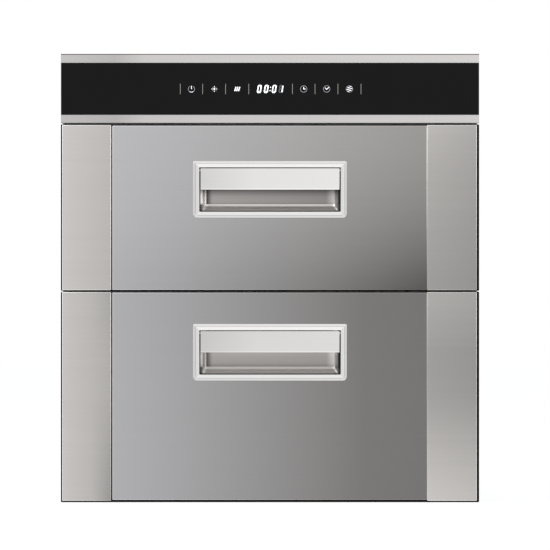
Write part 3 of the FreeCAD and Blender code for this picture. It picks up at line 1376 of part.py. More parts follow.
def cabinet_nodes():
    """Every fixed piece of the cabinet, and the blower's wheel, by node name."""
    return {
        "base_plate": base_plate(),
        "feet": feet(),
        "side_panels": side_panels(),
        "top_cover": top_cover(),
        "rear_panel": rear_panel(),
        "case_screws": case_screws(),
        "front_frame": front_frame(),
        "upper_liner": upper_liner(),
        "lower_liner": lower_liner(),
        "lower_wool": lower_wool(),
        "control_fascia": control_fascia(),
        "control_glass": control_glass(),
        "control_housing": control_housing(),
        "display_board": display_board(),
        "led_display": led_display(),
        "board_tray": board_tray(),
        "power_board": power_board(),
        "ozone_generator": ozone_generator(),
        "uv_lamp": uv_lamp(),
        "lamp_holders": lamp_holders(),
        "quartz_tubes": quartz_tubes(),
        "tube_holders": tube_holders(),
        "tube_guard": tube_guard(),
        "blower_housing": blower_housing(),
        "blower_motor": blower_motor(),
        "blower_wheel": blower_wheel(),
        "drying_heater": drying_heater(),
        "thermostat": thermostat(),
        "door_switches": door_switches(),
        "cord_gland": cord_gland(),
    }


def build():
    """Writes one STEP file for each node."""
    os.makedirs("parts", exist_ok=True)
    nodes = cabinet_nodes()
    nodes.update(drawer_nodes("upper", UPPER))
    nodes.update(drawer_nodes("lower", LOWER))
    nodes["lower_plate_rack"] = plate_rack(LOWER)
    for name, solids in nodes.items():
        Part.makeCompound(solids).exportStep(os.path.join("parts", name + ".step"))


build()
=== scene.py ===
"""Dish sterilizer cabinet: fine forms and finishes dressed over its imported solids.

Sizes are millimetres in the cabinet's own frame: X to the right, Y to the back, Z up, with the
origin at floor level under the middle.  A depth is measured back from the steel face of the
drawer fronts.  Every piece is scaled to metres when it is finished.
"""

import logging
import math
from dataclasses import dataclass
from enum import Enum
from typing import Callable, Dict, Iterable, List, Optional, Sequence, Set, Tuple, Union

import bmesh
import bpy
from mathutils import Matrix, Vector

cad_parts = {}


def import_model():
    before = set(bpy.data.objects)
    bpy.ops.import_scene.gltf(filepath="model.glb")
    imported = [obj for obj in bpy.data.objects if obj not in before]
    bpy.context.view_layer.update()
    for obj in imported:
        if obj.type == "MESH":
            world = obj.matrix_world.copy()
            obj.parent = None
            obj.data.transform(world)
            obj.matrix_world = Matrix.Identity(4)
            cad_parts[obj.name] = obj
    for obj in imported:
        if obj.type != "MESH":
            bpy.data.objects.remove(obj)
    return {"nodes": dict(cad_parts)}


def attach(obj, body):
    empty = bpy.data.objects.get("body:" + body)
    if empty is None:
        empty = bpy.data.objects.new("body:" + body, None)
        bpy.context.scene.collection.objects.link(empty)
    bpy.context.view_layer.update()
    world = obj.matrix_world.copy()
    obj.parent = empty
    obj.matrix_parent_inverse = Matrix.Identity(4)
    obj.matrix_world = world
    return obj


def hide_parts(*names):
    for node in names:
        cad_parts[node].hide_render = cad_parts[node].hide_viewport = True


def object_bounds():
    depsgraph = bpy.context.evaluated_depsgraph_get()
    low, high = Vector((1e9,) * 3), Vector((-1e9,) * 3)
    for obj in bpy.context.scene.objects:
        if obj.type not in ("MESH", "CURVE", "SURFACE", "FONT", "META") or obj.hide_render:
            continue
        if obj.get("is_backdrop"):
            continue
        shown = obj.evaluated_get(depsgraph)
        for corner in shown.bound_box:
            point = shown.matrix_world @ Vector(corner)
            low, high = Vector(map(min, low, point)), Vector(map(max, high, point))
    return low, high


LOG = logging.getLogger("cabinet")
MM = 0.001
FACE_Y = -216.1

Pair = Tuple[float, float]
Point = Tuple[float, float, float]
Tone = Tuple[float, float, float]
Box = Tuple[float, float, float, float]
Stops = Tuple[Pair, ...]
Node, Tree, Socket = bpy.types.Node, bpy.types.NodeTree, bpy.types.NodeSocket
Term = Union[Socket, float, Sequence[float]]
Rule = Callable[[Vector, Vector], float]
Edge, Vert, Face = bmesh.types.BMEdge, bmesh.types.BMVert, bmesh.types.BMFace
Edges = Iterable[Edge]

RIGHT, UP, DOWN = (1.0, 0.0, 0.0), (0.0, 0.0, 1.0), (0.0, 0.0, -1.0)
BACK, FRONT = (0.0, 1.0, 0.0), (0.0, -1.0, 0.0)


class Brush(Enum):
    """Direction that a sheet was brushed in, as the grain's frequency along X, Y and Z."""

    ACROSS = (5.0, 700.0, 700.0)
    UPRIGHT = (700.0, 700.0, 5.0)
    DEPTHWISE = (700.0, 5.0, 700.0)
    CAST = (420.0, 420.0, 420.0)


class Side(Enum):
    """Left or right of the cabinet, seen from the front."""

    LEFT = -1
    RIGHT = 1


def y_at(depth: float) -> float:
    """Y of the plane that lies this far behind the steel faces."""
    return FACE_Y + depth


def at(x: float, depth: float, z: float) -> Point:
    """Point that lies this far behind the steel faces."""
    return (x, FACE_Y + depth, z)


def linear(level: float) -> float:
    """Scene-linear value of a display level between 0 and 1."""
    return level / 12.92 if level <= 0.04045 else ((level + 0.055) / 1.055) ** 2.4


def paint(tone: Tone) -> Tuple[float, ...]:
    """Scene-linear colour, with full alpha, of a display tone given as 0 to 255."""
    return tuple(linear(part / 255.0) for part in tone) + (1.0,)


def spread(first: float, last: float, count: int) -> List[float]:
    """Evenly spaced places from first to last."""
    step = (last - first) / (count - 1)
    return [first + step * index for index in range(count)]


def midway(places: Sequence[float]) -> List[float]:
    """Middle of each gap between neighbouring places."""
    return [(one + two) / 2 for one, two in zip(places, places[1:])]


def unique(items: Iterable) -> List:
    """The items in the order that they come in, each once."""
    return list(dict.fromkeys(items))


# ---- node work
class Board:
    """Adds and joins the nodes of one node tree."""

    def __init__(self, tree: Tree) -> None:
        """Keeps the tree that nodes go into."""
        self.tree = tree

    def feed(self, target: Socket, term: Term) -> None:
        """Gives an input its value.

        Args:
            target: the input.
            term: the output of another node, or a plain number or colour.
        """
        if isinstance(term, Socket):
            self.tree.links.new(term, target)
        else:
            target.default_value = term

    def node(self, kind: str, values: Optional[Dict[Union[int, str], Term]] = None,
             **settings) -> Node:
        """Adds one node.

        Args:
            kind: Blender's name of the node type.
            values: what its input sockets get, by name or index.
            settings: properties of the node itself.

        Returns:
            The new node.
        """
        made = self.tree.nodes.new(kind)
        for key, value in settings.items():
            setattr(made, key, value)
        for key, value in (values or {}).items():
            self.feed(made.inputs[key], value)
        return made

    def place(self) -> Socket:
        """Adds the place on the object, in metres."""
        return self.node("ShaderNodeTexCoord").outputs["Object"]

    def group(self, tree: Tree, **values: Term) -> Node:
        """Adds a node group, on Object coordinates.

        Args:
            tree: the group.
            values: what its inputs get, with _ for the blanks in their names.

        Returns:
            The group node.
        """
        named = {key.replace("_", " "): value for key, value in values.items()}
        return self.node("ShaderNodeGroup", {"Vector": self.place(), **named}, node_tree=tree)

    def maths(self, operation: str, one: Term, two: Term, clamp: bool = False) -> Socket:
        """Adds a Math node.

        Args:
            operation: Blender's name of what it does.
            one: first term.
            two: second term.
            clamp: whether the result is held between 0 and 1.

        Returns:
            The result.
        """
        return self.node("ShaderNodeMath", {0: one, 1: two}, operation=operation,
                         use_clamp=clamp).outputs[0]

    def way(self, value: Socket, start: float, end: float) -> Socket:
        """Adds how far a value has come from start to end, held between 0 and 1."""
        return self.node("ShaderNodeMapRange", {"Value": value, "From Min": start,
                                                "From Max": end}).outputs[0]

    def mixed(self, share: Term, one: Term, two: Term, blend: str = "MIX") -> Socket:
        """Mixes two colours.

        Args:
            share: share of the second colour.
            one: first colour.
            two: second colour.
            blend: Blender's name of how they blend.

        Returns:
            The mixed colour.
        """
        return self.node("ShaderNodeMix", {0: share, 6: one, 7: two}, data_type="RGBA",
                         blend_type=blend).outputs[2]

    def tinted(self, colour: Term, shade: Socket) -> Socket:
        """Multiplies a colour by a varying grey or colour."""
        return self.mixed(1.0, colour, shade, "MULTIPLY")

    def ramp(self, factor: Socket, stops: Stops, plain: bool = False) -> Socket:
        """Adds a colour ramp of greys.

        Args:
            factor: the way along the ramp.
            stops: place and display level of each grey, or place and value.
            plain: whether the stops hold values.

        Returns:
            The grey.
        """
        made = self.node("ShaderNodeValToRGB", {0: factor})
        band = made.color_ramp
        while len(band.elements) < len(stops):
            band.elements.new(0.5)
        for element, (place, level) in zip(band.elements, stops):
            element.position = place
            grey = level if plain else linear(level / 255.0)
            element.color = (grey, grey, grey, 1.0)
        return made.outputs[0]


class Effects:
    """Shader node groups that several finishes share, each built once."""

    def __init__(self) -> None:
        """Starts with no group built."""
        self._made: Dict[str, Tree] = {}

    def _group(self, name: str, vectors: Sequence[str],
               numbers: Dict[str, float]) -> Tuple[Tree, Board]:
        """Starts a group that puts out a shade, a change of gloss and a height.

        Args:
            name: the group's name.
            vectors: names of its vector inputs.
            numbers: names and defaults of its number inputs.

        Returns:
            The group's tree and a board to fill it with.
        """
        tree = bpy.data.node_groups.new(name, "ShaderNodeTree")
        add = tree.interface.new_socket
        for label in vectors:
            add(name=label, in_out="INPUT", socket_type="NodeSocketVector")
        for label, default in numbers.items():
            add(name=label, in_out="INPUT",
                socket_type="NodeSocketFloat").default_value = default
        for label in ("Shade", "Gloss", "Height"):
            add(name=label, in_out="OUTPUT", socket_type="NodeSocketFloat")
        self._made[name] = tree
        return tree, Board(tree)

    def grain(self) -> Tree:
        """Brushed grain: fine streaks over broad, faint bands.

        Returns:
            The group's tree.
        """
        if "Brushed grain" in self._made:
            return self._made["Brushed grain"]
        tree, board = self._group("Brushed grain", ("Vector", "Frequency"), {
            "Streaks": 0.03, "Bands": 0.02, "Gloss change": 0.06})
        entry = board.node("NodeGroupInput").outputs
        place = board.node("ShaderNodeVectorMath",
                           {0: entry["Vector"], 1: entry["Frequency"]},
                           operation="MULTIPLY").outputs[0]
        fine = board.node("ShaderNodeTexNoise", {
            "Vector": place, "Scale": 1.0, "Detail": 3.0, "Roughness": 0.6}).outputs[0]
        broad = board.node("ShaderNodeTexNoise", {
            "Vector": place, "Scale": 0.11, "Detail": 2.0, "Roughness": 0.5}).outputs[0]
        streak = board.maths("SUBTRACT", fine, 0.5)
        band = board.maths("SUBTRACT", broad, 0.5)
        lift = board.maths("ADD", board.maths("MULTIPLY", streak, entry["Streaks"]),
                           board.maths("MULTIPLY", band, entry["Bands"]))
        board.node("NodeGroupOutput", {
            "Shade": board.maths("ADD", lift, 1.0),
            "Gloss": board.maths("MULTIPLY", streak, entry["Gloss change"]),
            "Height": fine})
        return tree

    def speckle(self) -> Tree:
        """Moulded or painted grain: small pits and slow changes of tone.

        Returns:
            The group's tree.
        """
        if "Fine speckle" in self._made:
            return self._made["Fine speckle"]
        tree, board = self._group("Fine speckle", ("Vector",), {
            "Grain scale": 900.0, "Tone change": 0.1, "Gloss change": 0.1})
        entry = board.node("NodeGroupInput").outputs
        pits = board.node("ShaderNodeTexVoronoi", {
            "Vector": entry["Vector"], "Scale": entry["Grain scale"]}, feature="SMOOTH_F1")
        slow = board.node("ShaderNodeTexNoise", {
            "Vector": entry["Vector"], "Scale": 14.0, "Detail": 4.0})
        change = board.maths("SUBTRACT", slow.outputs[0], 0.5)
        board.node("NodeGroupOutput", {
            "Shade": board.maths(
                "ADD", board.maths("MULTIPLY", change, entry["Tone change"]), 1.0),
            "Gloss": board.maths("MULTIPLY", change, entry["Gloss change"]),
            "Height": pits.outputs["Distance"]})
        return tree


EFFECTS = Effects()


@dataclass(frozen=True)
class PaintedLight:
    """Painted light on a sheet: reflections, highlights and shade painted into its tone over
    its face.

    Along X the tone goes through the stops of the top row or the foot row, mixed by the height
    below the top to the power of bend, by the shares listed at given heights below the top, or
    all at once at the height of a ridge.  The column's stops then scale it along Z.
    """

    x0: float
    x1: float
    z0: float
    z1: float
    top: Stops
    foot: Optional[Stops] = None
    bend: float = 1.0
    shares: Optional[Stops] = None
    column: Optional[Stops] = None
    ridge: Optional[float] = None
    softness: float = 0.03
    left: Tone = (255, 255, 255)
    right: Tone = (255, 255, 255)

    def build(self, board: Board) -> Socket:
        """Adds the nodes of the painted light.

        Args:
            board: the board of the sheet's material.

        Returns:
            The colour of the painted light.
        """
        axes = board.node("ShaderNodeSeparateXYZ", {0: board.place()}).outputs
        across = board.way(axes["X"], self.x0 * MM, self.x1 * MM)
        below = board.way(axes["Z"], self.z1 * MM, self.z0 * MM)
        colour = board.ramp(across, self.top)
        if self.foot:
            if self.ridge:
                share = board.way(
                    below, self.ridge - self.softness, self.ridge + self.softness)
            elif self.shares:
                share = board.ramp(below, self.shares, plain=True)
            else:
                share = board.maths("POWER", below, self.bend)
            colour = board.mixed(share, colour, board.ramp(across, self.foot))
        if self.column:
            colour = board.tinted(colour, board.ramp(below, self.column))
        if self.left != self.right:
            tint = board.mixed(across, paint(self.left), paint(self.right))
            colour = board.tinted(colour, tint)
        return colour


# ---- finishes
@dataclass(frozen=True)
class Finish:
    """A finish with a name, a display tone and a roughness; it makes its material once."""

    name: str
    tone: Tone
    roughness: float = 0.4

    def material(self) -> bpy.types.Material:
        """Finds this finish's material, or builds it on first use.

        Returns:
            The material.
        """
        found = bpy.data.materials.get(self.name)
        if found:
            return found
        made = bpy.data.materials.new(self.name)
        made.use_nodes = True
        made.node_tree.nodes.clear()
        board = Board(made.node_tree)
        shader = board.node("ShaderNodeBsdfPrincipled")
        board.node("ShaderNodeOutputMaterial", {0: shader.outputs[0]})
        made.diffuse_color = paint(self.tone)
        for key, term in self.dress(board).items():
            board.feed(shader.inputs[key], term)
        return made

    def dress(self, board: Board) -> Dict[str, Term]:
        """What each input of the shader gets."""
        raise NotImplementedError

    def glossed(self, board: Board, change: Socket) -> Socket:
        """The finish's roughness with a small change over the surface."""
        return board.maths("ADD", change, self.roughness, clamp=True)

    def bump(self, board: Board, height: Socket, distance: float, strength: float) -> Socket:
        """Adds a bump.

        Args:
            board: the material's board.
            height: the relief, from 0 to 1.
            distance: its real depth in metres.
            strength: how fully it shows.

        Returns:
            The bumped normal.
        """
        return board.node("ShaderNodeBump", {
            "Strength": strength, "Distance": distance, "Height": height}).outputs[0]


@dataclass(frozen=True)
class BrushedMetal(Finish):
    """Brushed, satin or cast metal, with its grain, optional painted light and an optional
    painted shade per face.
    """

    brush: Brush = Brush.ACROSS
    streaks: float = 0.10
    bands: float = 0.05
    # painted reflections, highlights and shade, as ramps over the face
    painted_light: Optional[PaintedLight] = None
    relief: float = 0.000004
    # whether the painted shade or highlight stored on each face multiplies the colour
    shaded: bool = False

    def dress(self, board: Board) -> Dict[str, Term]:
        """Grain in tone, gloss and relief over the metal's tone, times the painted light and
        painted face shade where given.

        Args:
            board: the material's board.

        Returns:
            What the shader's inputs get.
        """
        grain = board.group(EFFECTS.grain(), Frequency=self.brush.value,
                            Streaks=self.streaks, Bands=self.bands, Gloss_change=0.12).outputs
        colour = board.tinted(paint(self.tone), grain["Shade"])
        # painted reflections, highlights and shade
        if self.painted_light:
            colour = board.tinted(colour, self.painted_light.build(board))
        # painted shade or highlight of each face, from its rule
        if self.shaded:
            shade = board.node("ShaderNodeAttribute", attribute_name="Shade")
            colour = board.tinted(colour, shade.outputs["Color"])
        return {"Base Color": colour, "Metallic": 1.0,
                "Roughness": self.glossed(board, grain["Gloss"]),
                "Normal": self.bump(board, grain["Height"], self.relief, 0.5)}


@dataclass(frozen=True)
class Speckled(Finish):
    """A finish with a fine speckle in its tone and gloss."""

    grain_scale: float = 900.0
    change: float = 0.12
    gloss_change: float = 0.2

    def speckle(self, board: Board) -> Node:
        """Adds the speckle."""
        return board.group(EFFECTS.speckle(), Grain_scale=self.grain_scale,
                           Tone_change=self.change, Gloss_change=self.gloss_change)

    def speckled(self, board: Board, speckle: Node) -> Dict[str, Term]:
        """Speckled tone and gloss."""
        return {"Base Color": board.tinted(paint(self.tone), speckle.outputs["Shade"]),
                "Roughness": self.glossed(board, speckle.outputs["Gloss"])}


@dataclass(frozen=True)
class Moulded(Speckled):
    """Plastic, rubber, paint, ceramic or wool with a fine grain."""

    relief: float = 0.00004
    gloss: float = 0.5
    coat: float = 0.0

    def dress(self, board: Board) -> Dict[str, Term]:
        """Slow changes of tone and gloss over a fine pitted relief.

        Args:
            board: the material's board.

        Returns:
            What the shader's inputs get.
        """
        speckle = self.speckle(board)
        return {**self.speckled(board, speckle), "Specular IOR Level": self.gloss,
                "Coat Weight": self.coat,
                "Normal": self.bump(board, speckle.outputs["Height"], self.relief, 0.4)}


@dataclass(frozen=True)
class Galvanised(Finish):
    """Hot-dip zinc: flat crystals of slightly different tone and gloss."""

    crystal_scale: float = 150.0

    def dress(self, board: Board) -> Dict[str, Term]:
        """Crystals by cell, under a slow cloudy change.

        Args:
            board: the material's board.

        Returns:
            What the shader's inputs get.
        """
        place = board.place()
        cells = board.node("ShaderNodeTexVoronoi", {
            "Vector": place, "Scale": self.crystal_scale}, feature="F1").outputs
        crystal = board.node("ShaderNodeSeparateXYZ", {0: cells["Color"]}).outputs[0]
        cloud = board.node("ShaderNodeTexNoise", {
            "Vector": place, "Scale": 6.0, "Detail": 4.0}).outputs[0]
        facet = board.maths("MULTIPLY", board.maths("SUBTRACT", crystal, 0.5), 0.17)
        slow = board.maths("MULTIPLY", board.maths("SUBTRACT", cloud, 0.5), 0.10)
        shade = board.maths("ADD", board.maths("ADD", facet, slow), 1.0)
        return {"Base Color": board.tinted(paint(self.tone), shade), "Metallic": 1.0,
                "Roughness": board.maths("ADD", board.maths("MULTIPLY", facet, 0.8),
                                         self.roughness),
                "Normal": self.bump(board, cells["Distance"], 0.00002, 0.3)}


@dataclass(frozen=True)
class BackPaintedGlass(Speckled):
    """Glass strip painted on its back, with faint dust."""

    grain_scale: float = 500.0
    change: float = 0.5
    gloss_change: float = 0.06
    reflectance: float = 0.2

    def dress(self, board: Board) -> Dict[str, Term]:
        """Near-black body under a glossy face with a trace of dust."""
        return {**self.speckled(board, self.speckle(board)),
                "Specular IOR Level": self.reflectance}


@dataclass(frozen=True)
class ClearTube(Speckled):
    """Clear or milky tube glass with a slight bloom."""

    grain_scale: float = 300.0
    change: float = 0.08
    gloss_change: float = 0.1
    transmission: float = 0.9

    def dress(self, board: Board) -> Dict[str, Term]:
        """Glass with the refraction of quartz."""
        return {**self.speckled(board, self.speckle(board)),
                "Transmission Weight": self.transmission, "IOR": 1.46}


@dataclass(frozen=True)
class Lit(Speckled):
    """Mark or figure that is lit from behind, or printed with a faint painted glow."""

    grain_scale: float = 1500.0
    change: float = 0.1
    gloss_change: float = 0.05
    glow: float = 0.6

    def dress(self, board: Board) -> Dict[str, Term]:
        """Emission that is a little uneven, as through a diffuser.

        Args:
            board: the material's board.

        Returns:
            What the shader's inputs get.
        """
        colour = board.tinted(paint(self.tone), self.speckle(board).outputs["Shade"])
        return {"Emission Color": colour, "Base Color": colour,
                "Emission Strength": self.glow, "Roughness": self.roughness,
                "Specular IOR Level": 0.0}


# ---- making pieces
class Workpiece:
    """One piece in the making, in millimetres, until it is finished in metres."""

    WELD = 0.01
    MERGE = 0.001
    ON_AXIS = 0.0001
    FLAT_ANGLE = 1.0
    SHARP_ANGLE = 35.0

    def __init__(self, name: str) -> None:
        """Starts an empty piece."""
        self.name = name
        self.bm = bmesh.new()

    def rounded(self, edges: Edges, radius: float, steps: int) -> None:
        """Rounds edges, with this many facets across each."""
        bmesh.ops.bevel(self.bm, geom=list(edges), offset=radius, segments=steps,
                        profile=0.5, affect="EDGES", material=-1)

    def block(self, low: Point, high: Point, round_by: float = 0.0, steps: int = 2) -> None:
        """Adds a box, with all its edges rounded where round_by is given.

        Args:
            low: lowest corner.
            high: highest corner.
            round_by: radius of the edges.
            steps: facets across each rounded edge.
        """
        verts = bmesh.ops.create_cube(self.bm, size=1.0)["verts"]
        one, two = Vector(low), Vector(high)
        bmesh.ops.scale(self.bm, vec=two - one, verts=verts)
        bmesh.ops.translate(self.bm, vec=(one + two) / 2, verts=verts)
        if round_by:
            self.rounded(unique(edge for vert in verts for edge in vert.link_edges),
                         round_by, steps)

    def bar(self, start: Point, end: Point, radius: float, sides: int = 16,
            end_radius: Optional[float] = None) -> None:
        """Adds a capped round bar between two points.

        Args:
            start: centre of one end.
            end: centre of the other end.
            radius: radius at the start.
            sides: facets round it.
            end_radius: radius at the end, where it differs.
        """
        one, two = Vector(start), Vector(end)
        turn = (two - one).to_track_quat("Z", "Y").to_matrix().to_4x4()
        bmesh.ops.create_cone(
            self.bm, cap_ends=True, segments=sides, radius1=radius,
            radius2=radius if end_radius is None else end_radius, depth=(two - one).length,
            matrix=Matrix.Translation((one + two) / 2) @ turn)

    def _reach(self, edges: List[Edge], move: Vector) -> List[Edge]:
        """Extrudes a ring of edges.

        Args:
            edges: the ring.
            move: how far and which way it goes.

        Returns:
            The new ring.
        """
        geom = bmesh.ops.extrude_edge_only(self.bm, edges=edges)["geom"]
        verts = [item for item in geom if isinstance(item, Vert)]
        bmesh.ops.translate(self.bm, vec=move, verts=verts)
        return [item for item in geom if isinstance(item, Edge)
                and item.verts[0] in verts and item.verts[1] in verts]

    def wire(self, points: Sequence[Point], radius: float, bend: float = 0.0, sides: int = 8,
             closed: bool = False, steps: int = 4) -> None:
        """Adds a bent round wire.

        Args:
            points: corners of its middle line.
            radius: the wire's radius.
            bend: radius of its bends.
            sides: facets round it.
            closed: True for a loop, whose two ends are welded.
            steps: facets along each bend.
        """
        path = [Vector(point) for point in points]
        if closed:
            seam = (path[0] + path[1]) / 2
            path = [seam] + path[1:] + [path[0], seam]
        first = (path[1] - path[0]).normalized()
        turn = first.to_track_quat("Z", "Y").to_matrix().to_4x4()
        ring = bmesh.ops.create_circle(self.bm, segments=sides, radius=radius,
                                       matrix=Matrix.Translation(path[0]) @ turn)["verts"]
        start = unique(edge for vert in ring for edge in vert.link_edges)
        edges, here, made = start, path[0], list(ring)
        for corner, following in zip(path[1:-1], path[2:]):
            before = (corner - here).normalized()
            after = (following - corner).normalized()
            angle = before.angle(after)
            setback = bend * math.tan(angle / 2)
            edges = self._reach(edges, corner - before * setback - here)
            axis = before.cross(after).normalized()
            centre = corner - before * setback + axis.cross(before) * bend
            verts = unique(vert for edge in edges for vert in edge.verts)
            spun = bmesh.ops.spin(self.bm, geom=edges + verts, cent=centre,
                                  axis=axis, angle=angle, steps=steps, use_merge=False,
                                  use_duplicate=False, use_normal_flip=False)
            edges = [item for item in spun["geom_last"] if isinstance(item, Edge)]
            here = corner + after * setback
        edges = self._reach(edges, path[-1] - here)
        if closed:
            last = unique(vert for edge in edges for vert in edge.verts)
            bmesh.ops.remove_doubles(self.bm, verts=last + made, dist=self.WELD)
        else:
            for loop in (start, edges):
                bmesh.ops.holes_fill(self.bm, edges=loop, sides=sides)

    def turned(self, profile: Sequence[Pair], centre: Point, axis: Point,
               steps: int = 24) -> None:
        """Adds a turned form.

        Args:
            profile: (way along the axis, radius) of each point.
            centre: where the axis starts.
            axis: unit vector of the axis.
            steps: facets round it.
        """
        along, start = Vector(axis), Vector(centre)
        out = along.orthogonal().normalized()
        verts = [
            self.bm.verts.new(start + along * way + out * radius) for way, radius in profile]
        edges = [self.bm.edges.new(pair) for pair in zip(verts, verts[1:])]
        bmesh.ops.spin(self.bm, geom=verts + edges, cent=start, axis=along, angle=math.tau,
                       steps=steps, use_merge=True, use_duplicate=False,
                       use_normal_flip=False)
        near = [vert for vert in self.bm.verts
                if abs((vert.co - start).cross(along).length) < self.ON_AXIS]
        bmesh.ops.remove_doubles(self.bm, verts=near, dist=self.MERGE)

    def rolled(self, profile: Sequence[Point], move: Point, sheet: float,
               fold: float = 0.0, steps: int = 4, towards: Optional[Point] = None) -> None:
        """Adds a folded sheet: a profile that is extruded, rounded at its folds and thickened.

        Args:
            profile: corners of the sheet's outer face, at one end.
            move: from that end to the other.
            sheet: thickness.
            fold: radius of the folds.
            steps: facets across each fold.
            towards: a direction that the first face's outer side looks to.
        """
        old = set(self.bm.faces)
        verts = [self.bm.verts.new(point) for point in profile]
        edges = [self.bm.edges.new(pair) for pair in zip(verts, verts[1:])]
        geom = bmesh.ops.extrude_edge_only(self.bm, edges=edges)["geom"]
        bmesh.ops.translate(
            self.bm, vec=move, verts=[g for g in geom if isinstance(g, Vert)])
        faces = [face for face in self.bm.faces if face not in old]
        bmesh.ops.recalc_face_normals(self.bm, faces=faces)
        self.bm.normal_update()
        middle = (Vector(profile[0]) + Vector(profile[1]) + Vector(move)) / 2
        first = min(faces, key=lambda face: (face.calc_center_median() - middle).length)
        if towards and first.normal.dot(Vector(towards)) < 0:
            bmesh.ops.reverse_faces(self.bm, faces=faces)
        if fold:
            self.rounded(unique(edge for face in faces for edge in face.edges
                                if len(edge.link_faces) == 2), fold, steps)
        faces = [face for face in self.bm.faces if face not in old]
        bmesh.ops.solidify(self.bm, geom=faces, thickness=sheet)

    def frame_loop(self, box: Box, depth: float, foot_radius: float, top_radius: float,
                   steps: int = 6) -> List[Edge]:
        """Adds a rounded rectangle of edges in the plane of one depth.

        Args:
            box: left, right, foot and top.
            depth: depth of the plane.
            foot_radius: radius of the two lower corners.
            top_radius: radius of the two upper corners.
            steps: facets in each corner.

        Returns:
            The loop's edges.
        """
        x0, x1, z0, z1 = box
        verts = bmesh.ops.create_grid(self.bm, x_segments=1, y_segments=1, size=0.5)["verts"]
        bmesh.ops.scale(self.bm, vec=(x1 - x0, z1 - z0, 1.0), verts=verts)
        bmesh.ops.rotate(
            self.bm, cent=(0, 0, 0), matrix=Matrix.Rotation(math.pi / 2, 3, "X"), verts=verts)
        bmesh.ops.translate(
            self.bm, vec=((x0 + x1) / 2, y_at(depth), (z0 + z1) / 2), verts=verts)
        low = [vert for vert in verts if vert.co.z < (z0 + z1) / 2]
        high = [vert for vert in verts if vert.co.z > (z0 + z1) / 2]
        for corners, radius in ((low, foot_radius), (high, top_radius)):
            made = bmesh.ops.bevel(self.bm, geom=corners, offset=radius, segments=steps,
                                   profile=0.5, affect="VERTICES", material=-1)
        face = made["verts"][0].link_faces[0]
        edges = list(face.edges)
        bmesh.ops.delete(self.bm, geom=[face], context="FACES_ONLY")
        return edges

    def framed(self, half: float, foot: float, top: float,
               rows: Sequence[Point], steps: int) -> List[Edges]:
        """Adds rounded rectangles about the middle plane, each set in from one outline.

        Args:
            half: half width of the outline.
            foot: foot of the outline.
            top: top of the outline.
            rows: inset, depth and corner radius of each.
            steps: facets in each corner.

        Returns:
            The loops.
        """
        return [self.frame_loop((-half + inset, half - inset, foot + inset, top - inset),
                                depth, radius, radius, steps)
                for inset, depth, radius in rows]

    def lofted(self, loops: Sequence[Edges]) -> None:
        """Joins each upright loop to the next, corner to corner.

        Args:
            loops: the loops in order.
        """
        rings = [self.ordered(loop) for loop in loops]
        for one, two in zip(rings, rings[1:]):
            for index, vert in enumerate(one):
                self.bm.faces.new((one[index - 1], vert, two[index], two[index - 1]))

    @staticmethod
    def ordered(edges: Edges) -> List[Vert]:
        """Walks round an upright loop, from the left end of its foot on to the right.

        Args:
            edges: the loop.

        Returns:
            Its vertices in order.
        """
        ways: Dict[Vert, List[Vert]] = {}
        for edge in edges:
            for vert in edge.verts:
                ways.setdefault(vert, []).append(edge.other_vert(vert))
        lowest = min(vert.co.z for vert in ways)
        start = min(
            (vert for vert in ways if vert.co.z < lowest + 0.005), key=lambda vert: vert.co.x)
        walk = [start, max(ways[start], key=lambda vert: vert.co.x)]
        while len(walk) < len(ways):
            walk.append(next(vert for vert in ways[walk[-1]] if vert != walk[-2]))
        return walk

    def disc(self, edges: Edges) -> None:
        """Fills one loop with a face."""
        bmesh.ops.contextual_create(self.bm, geom=list(edges))

    def adopt(self, node: bpy.types.Object, radius: float, steps: int = 2) -> None:
        """Takes over a copy of a CAD node's form, merged and with its edges softened.

        Args:
            node: the CAD node, which itself stays as it is.
            radius: radius that its sharp edges get.
            steps: facets across each edge.
        """
        self.bm.from_mesh(node.data)
        verts = self.bm.verts
        bmesh.ops.transform(self.bm, matrix=node.matrix_world, verts=list(verts))
        bmesh.ops.scale(self.bm, vec=(1 / MM, 1 / MM, 1 / MM), verts=list(verts))
        bmesh.ops.remove_doubles(self.bm, verts=list(verts), dist=2 * self.MERGE)
        bmesh.ops.dissolve_limit(self.bm, angle_limit=math.radians(self.FLAT_ANGLE),
                                 verts=list(verts), edges=list(self.bm.edges))
        sharp = [edge for edge in self.bm.edges if len(edge.link_faces) == 2
                 and edge.calc_face_angle() > math.radians(self.SHARP_ANGLE)]
        bmesh.ops.bevel(self.bm, geom=sharp, offset=radius, segments=steps, profile=0.5,
                        affect="EDGES", clamp_overlap=True, material=-1)

    def place(self, matrix: Matrix, old: Set[Vert]) -> None:
        """Moves what was added since the old vertices were noted."""
        bmesh.ops.transform(
            self.bm, matrix=matrix, verts=[vert for vert in self.bm.verts if vert not in old])

    def shade(self, rule: Rule) -> None:
        """Stores a painted shade or highlight for each face, for finishes that read it.

        Args:
            rule: gives the shade from a face's middle and its outward normal.
        """
        layer = self.bm.loops.layers.float_color.new("Shade")
        self.bm.normal_update()
        for face in self.bm.faces:
            level = rule(face.calc_center_median(), face.normal)
            for loop in face.loops:
                loop[layer] = (level, level, level, 1.0)

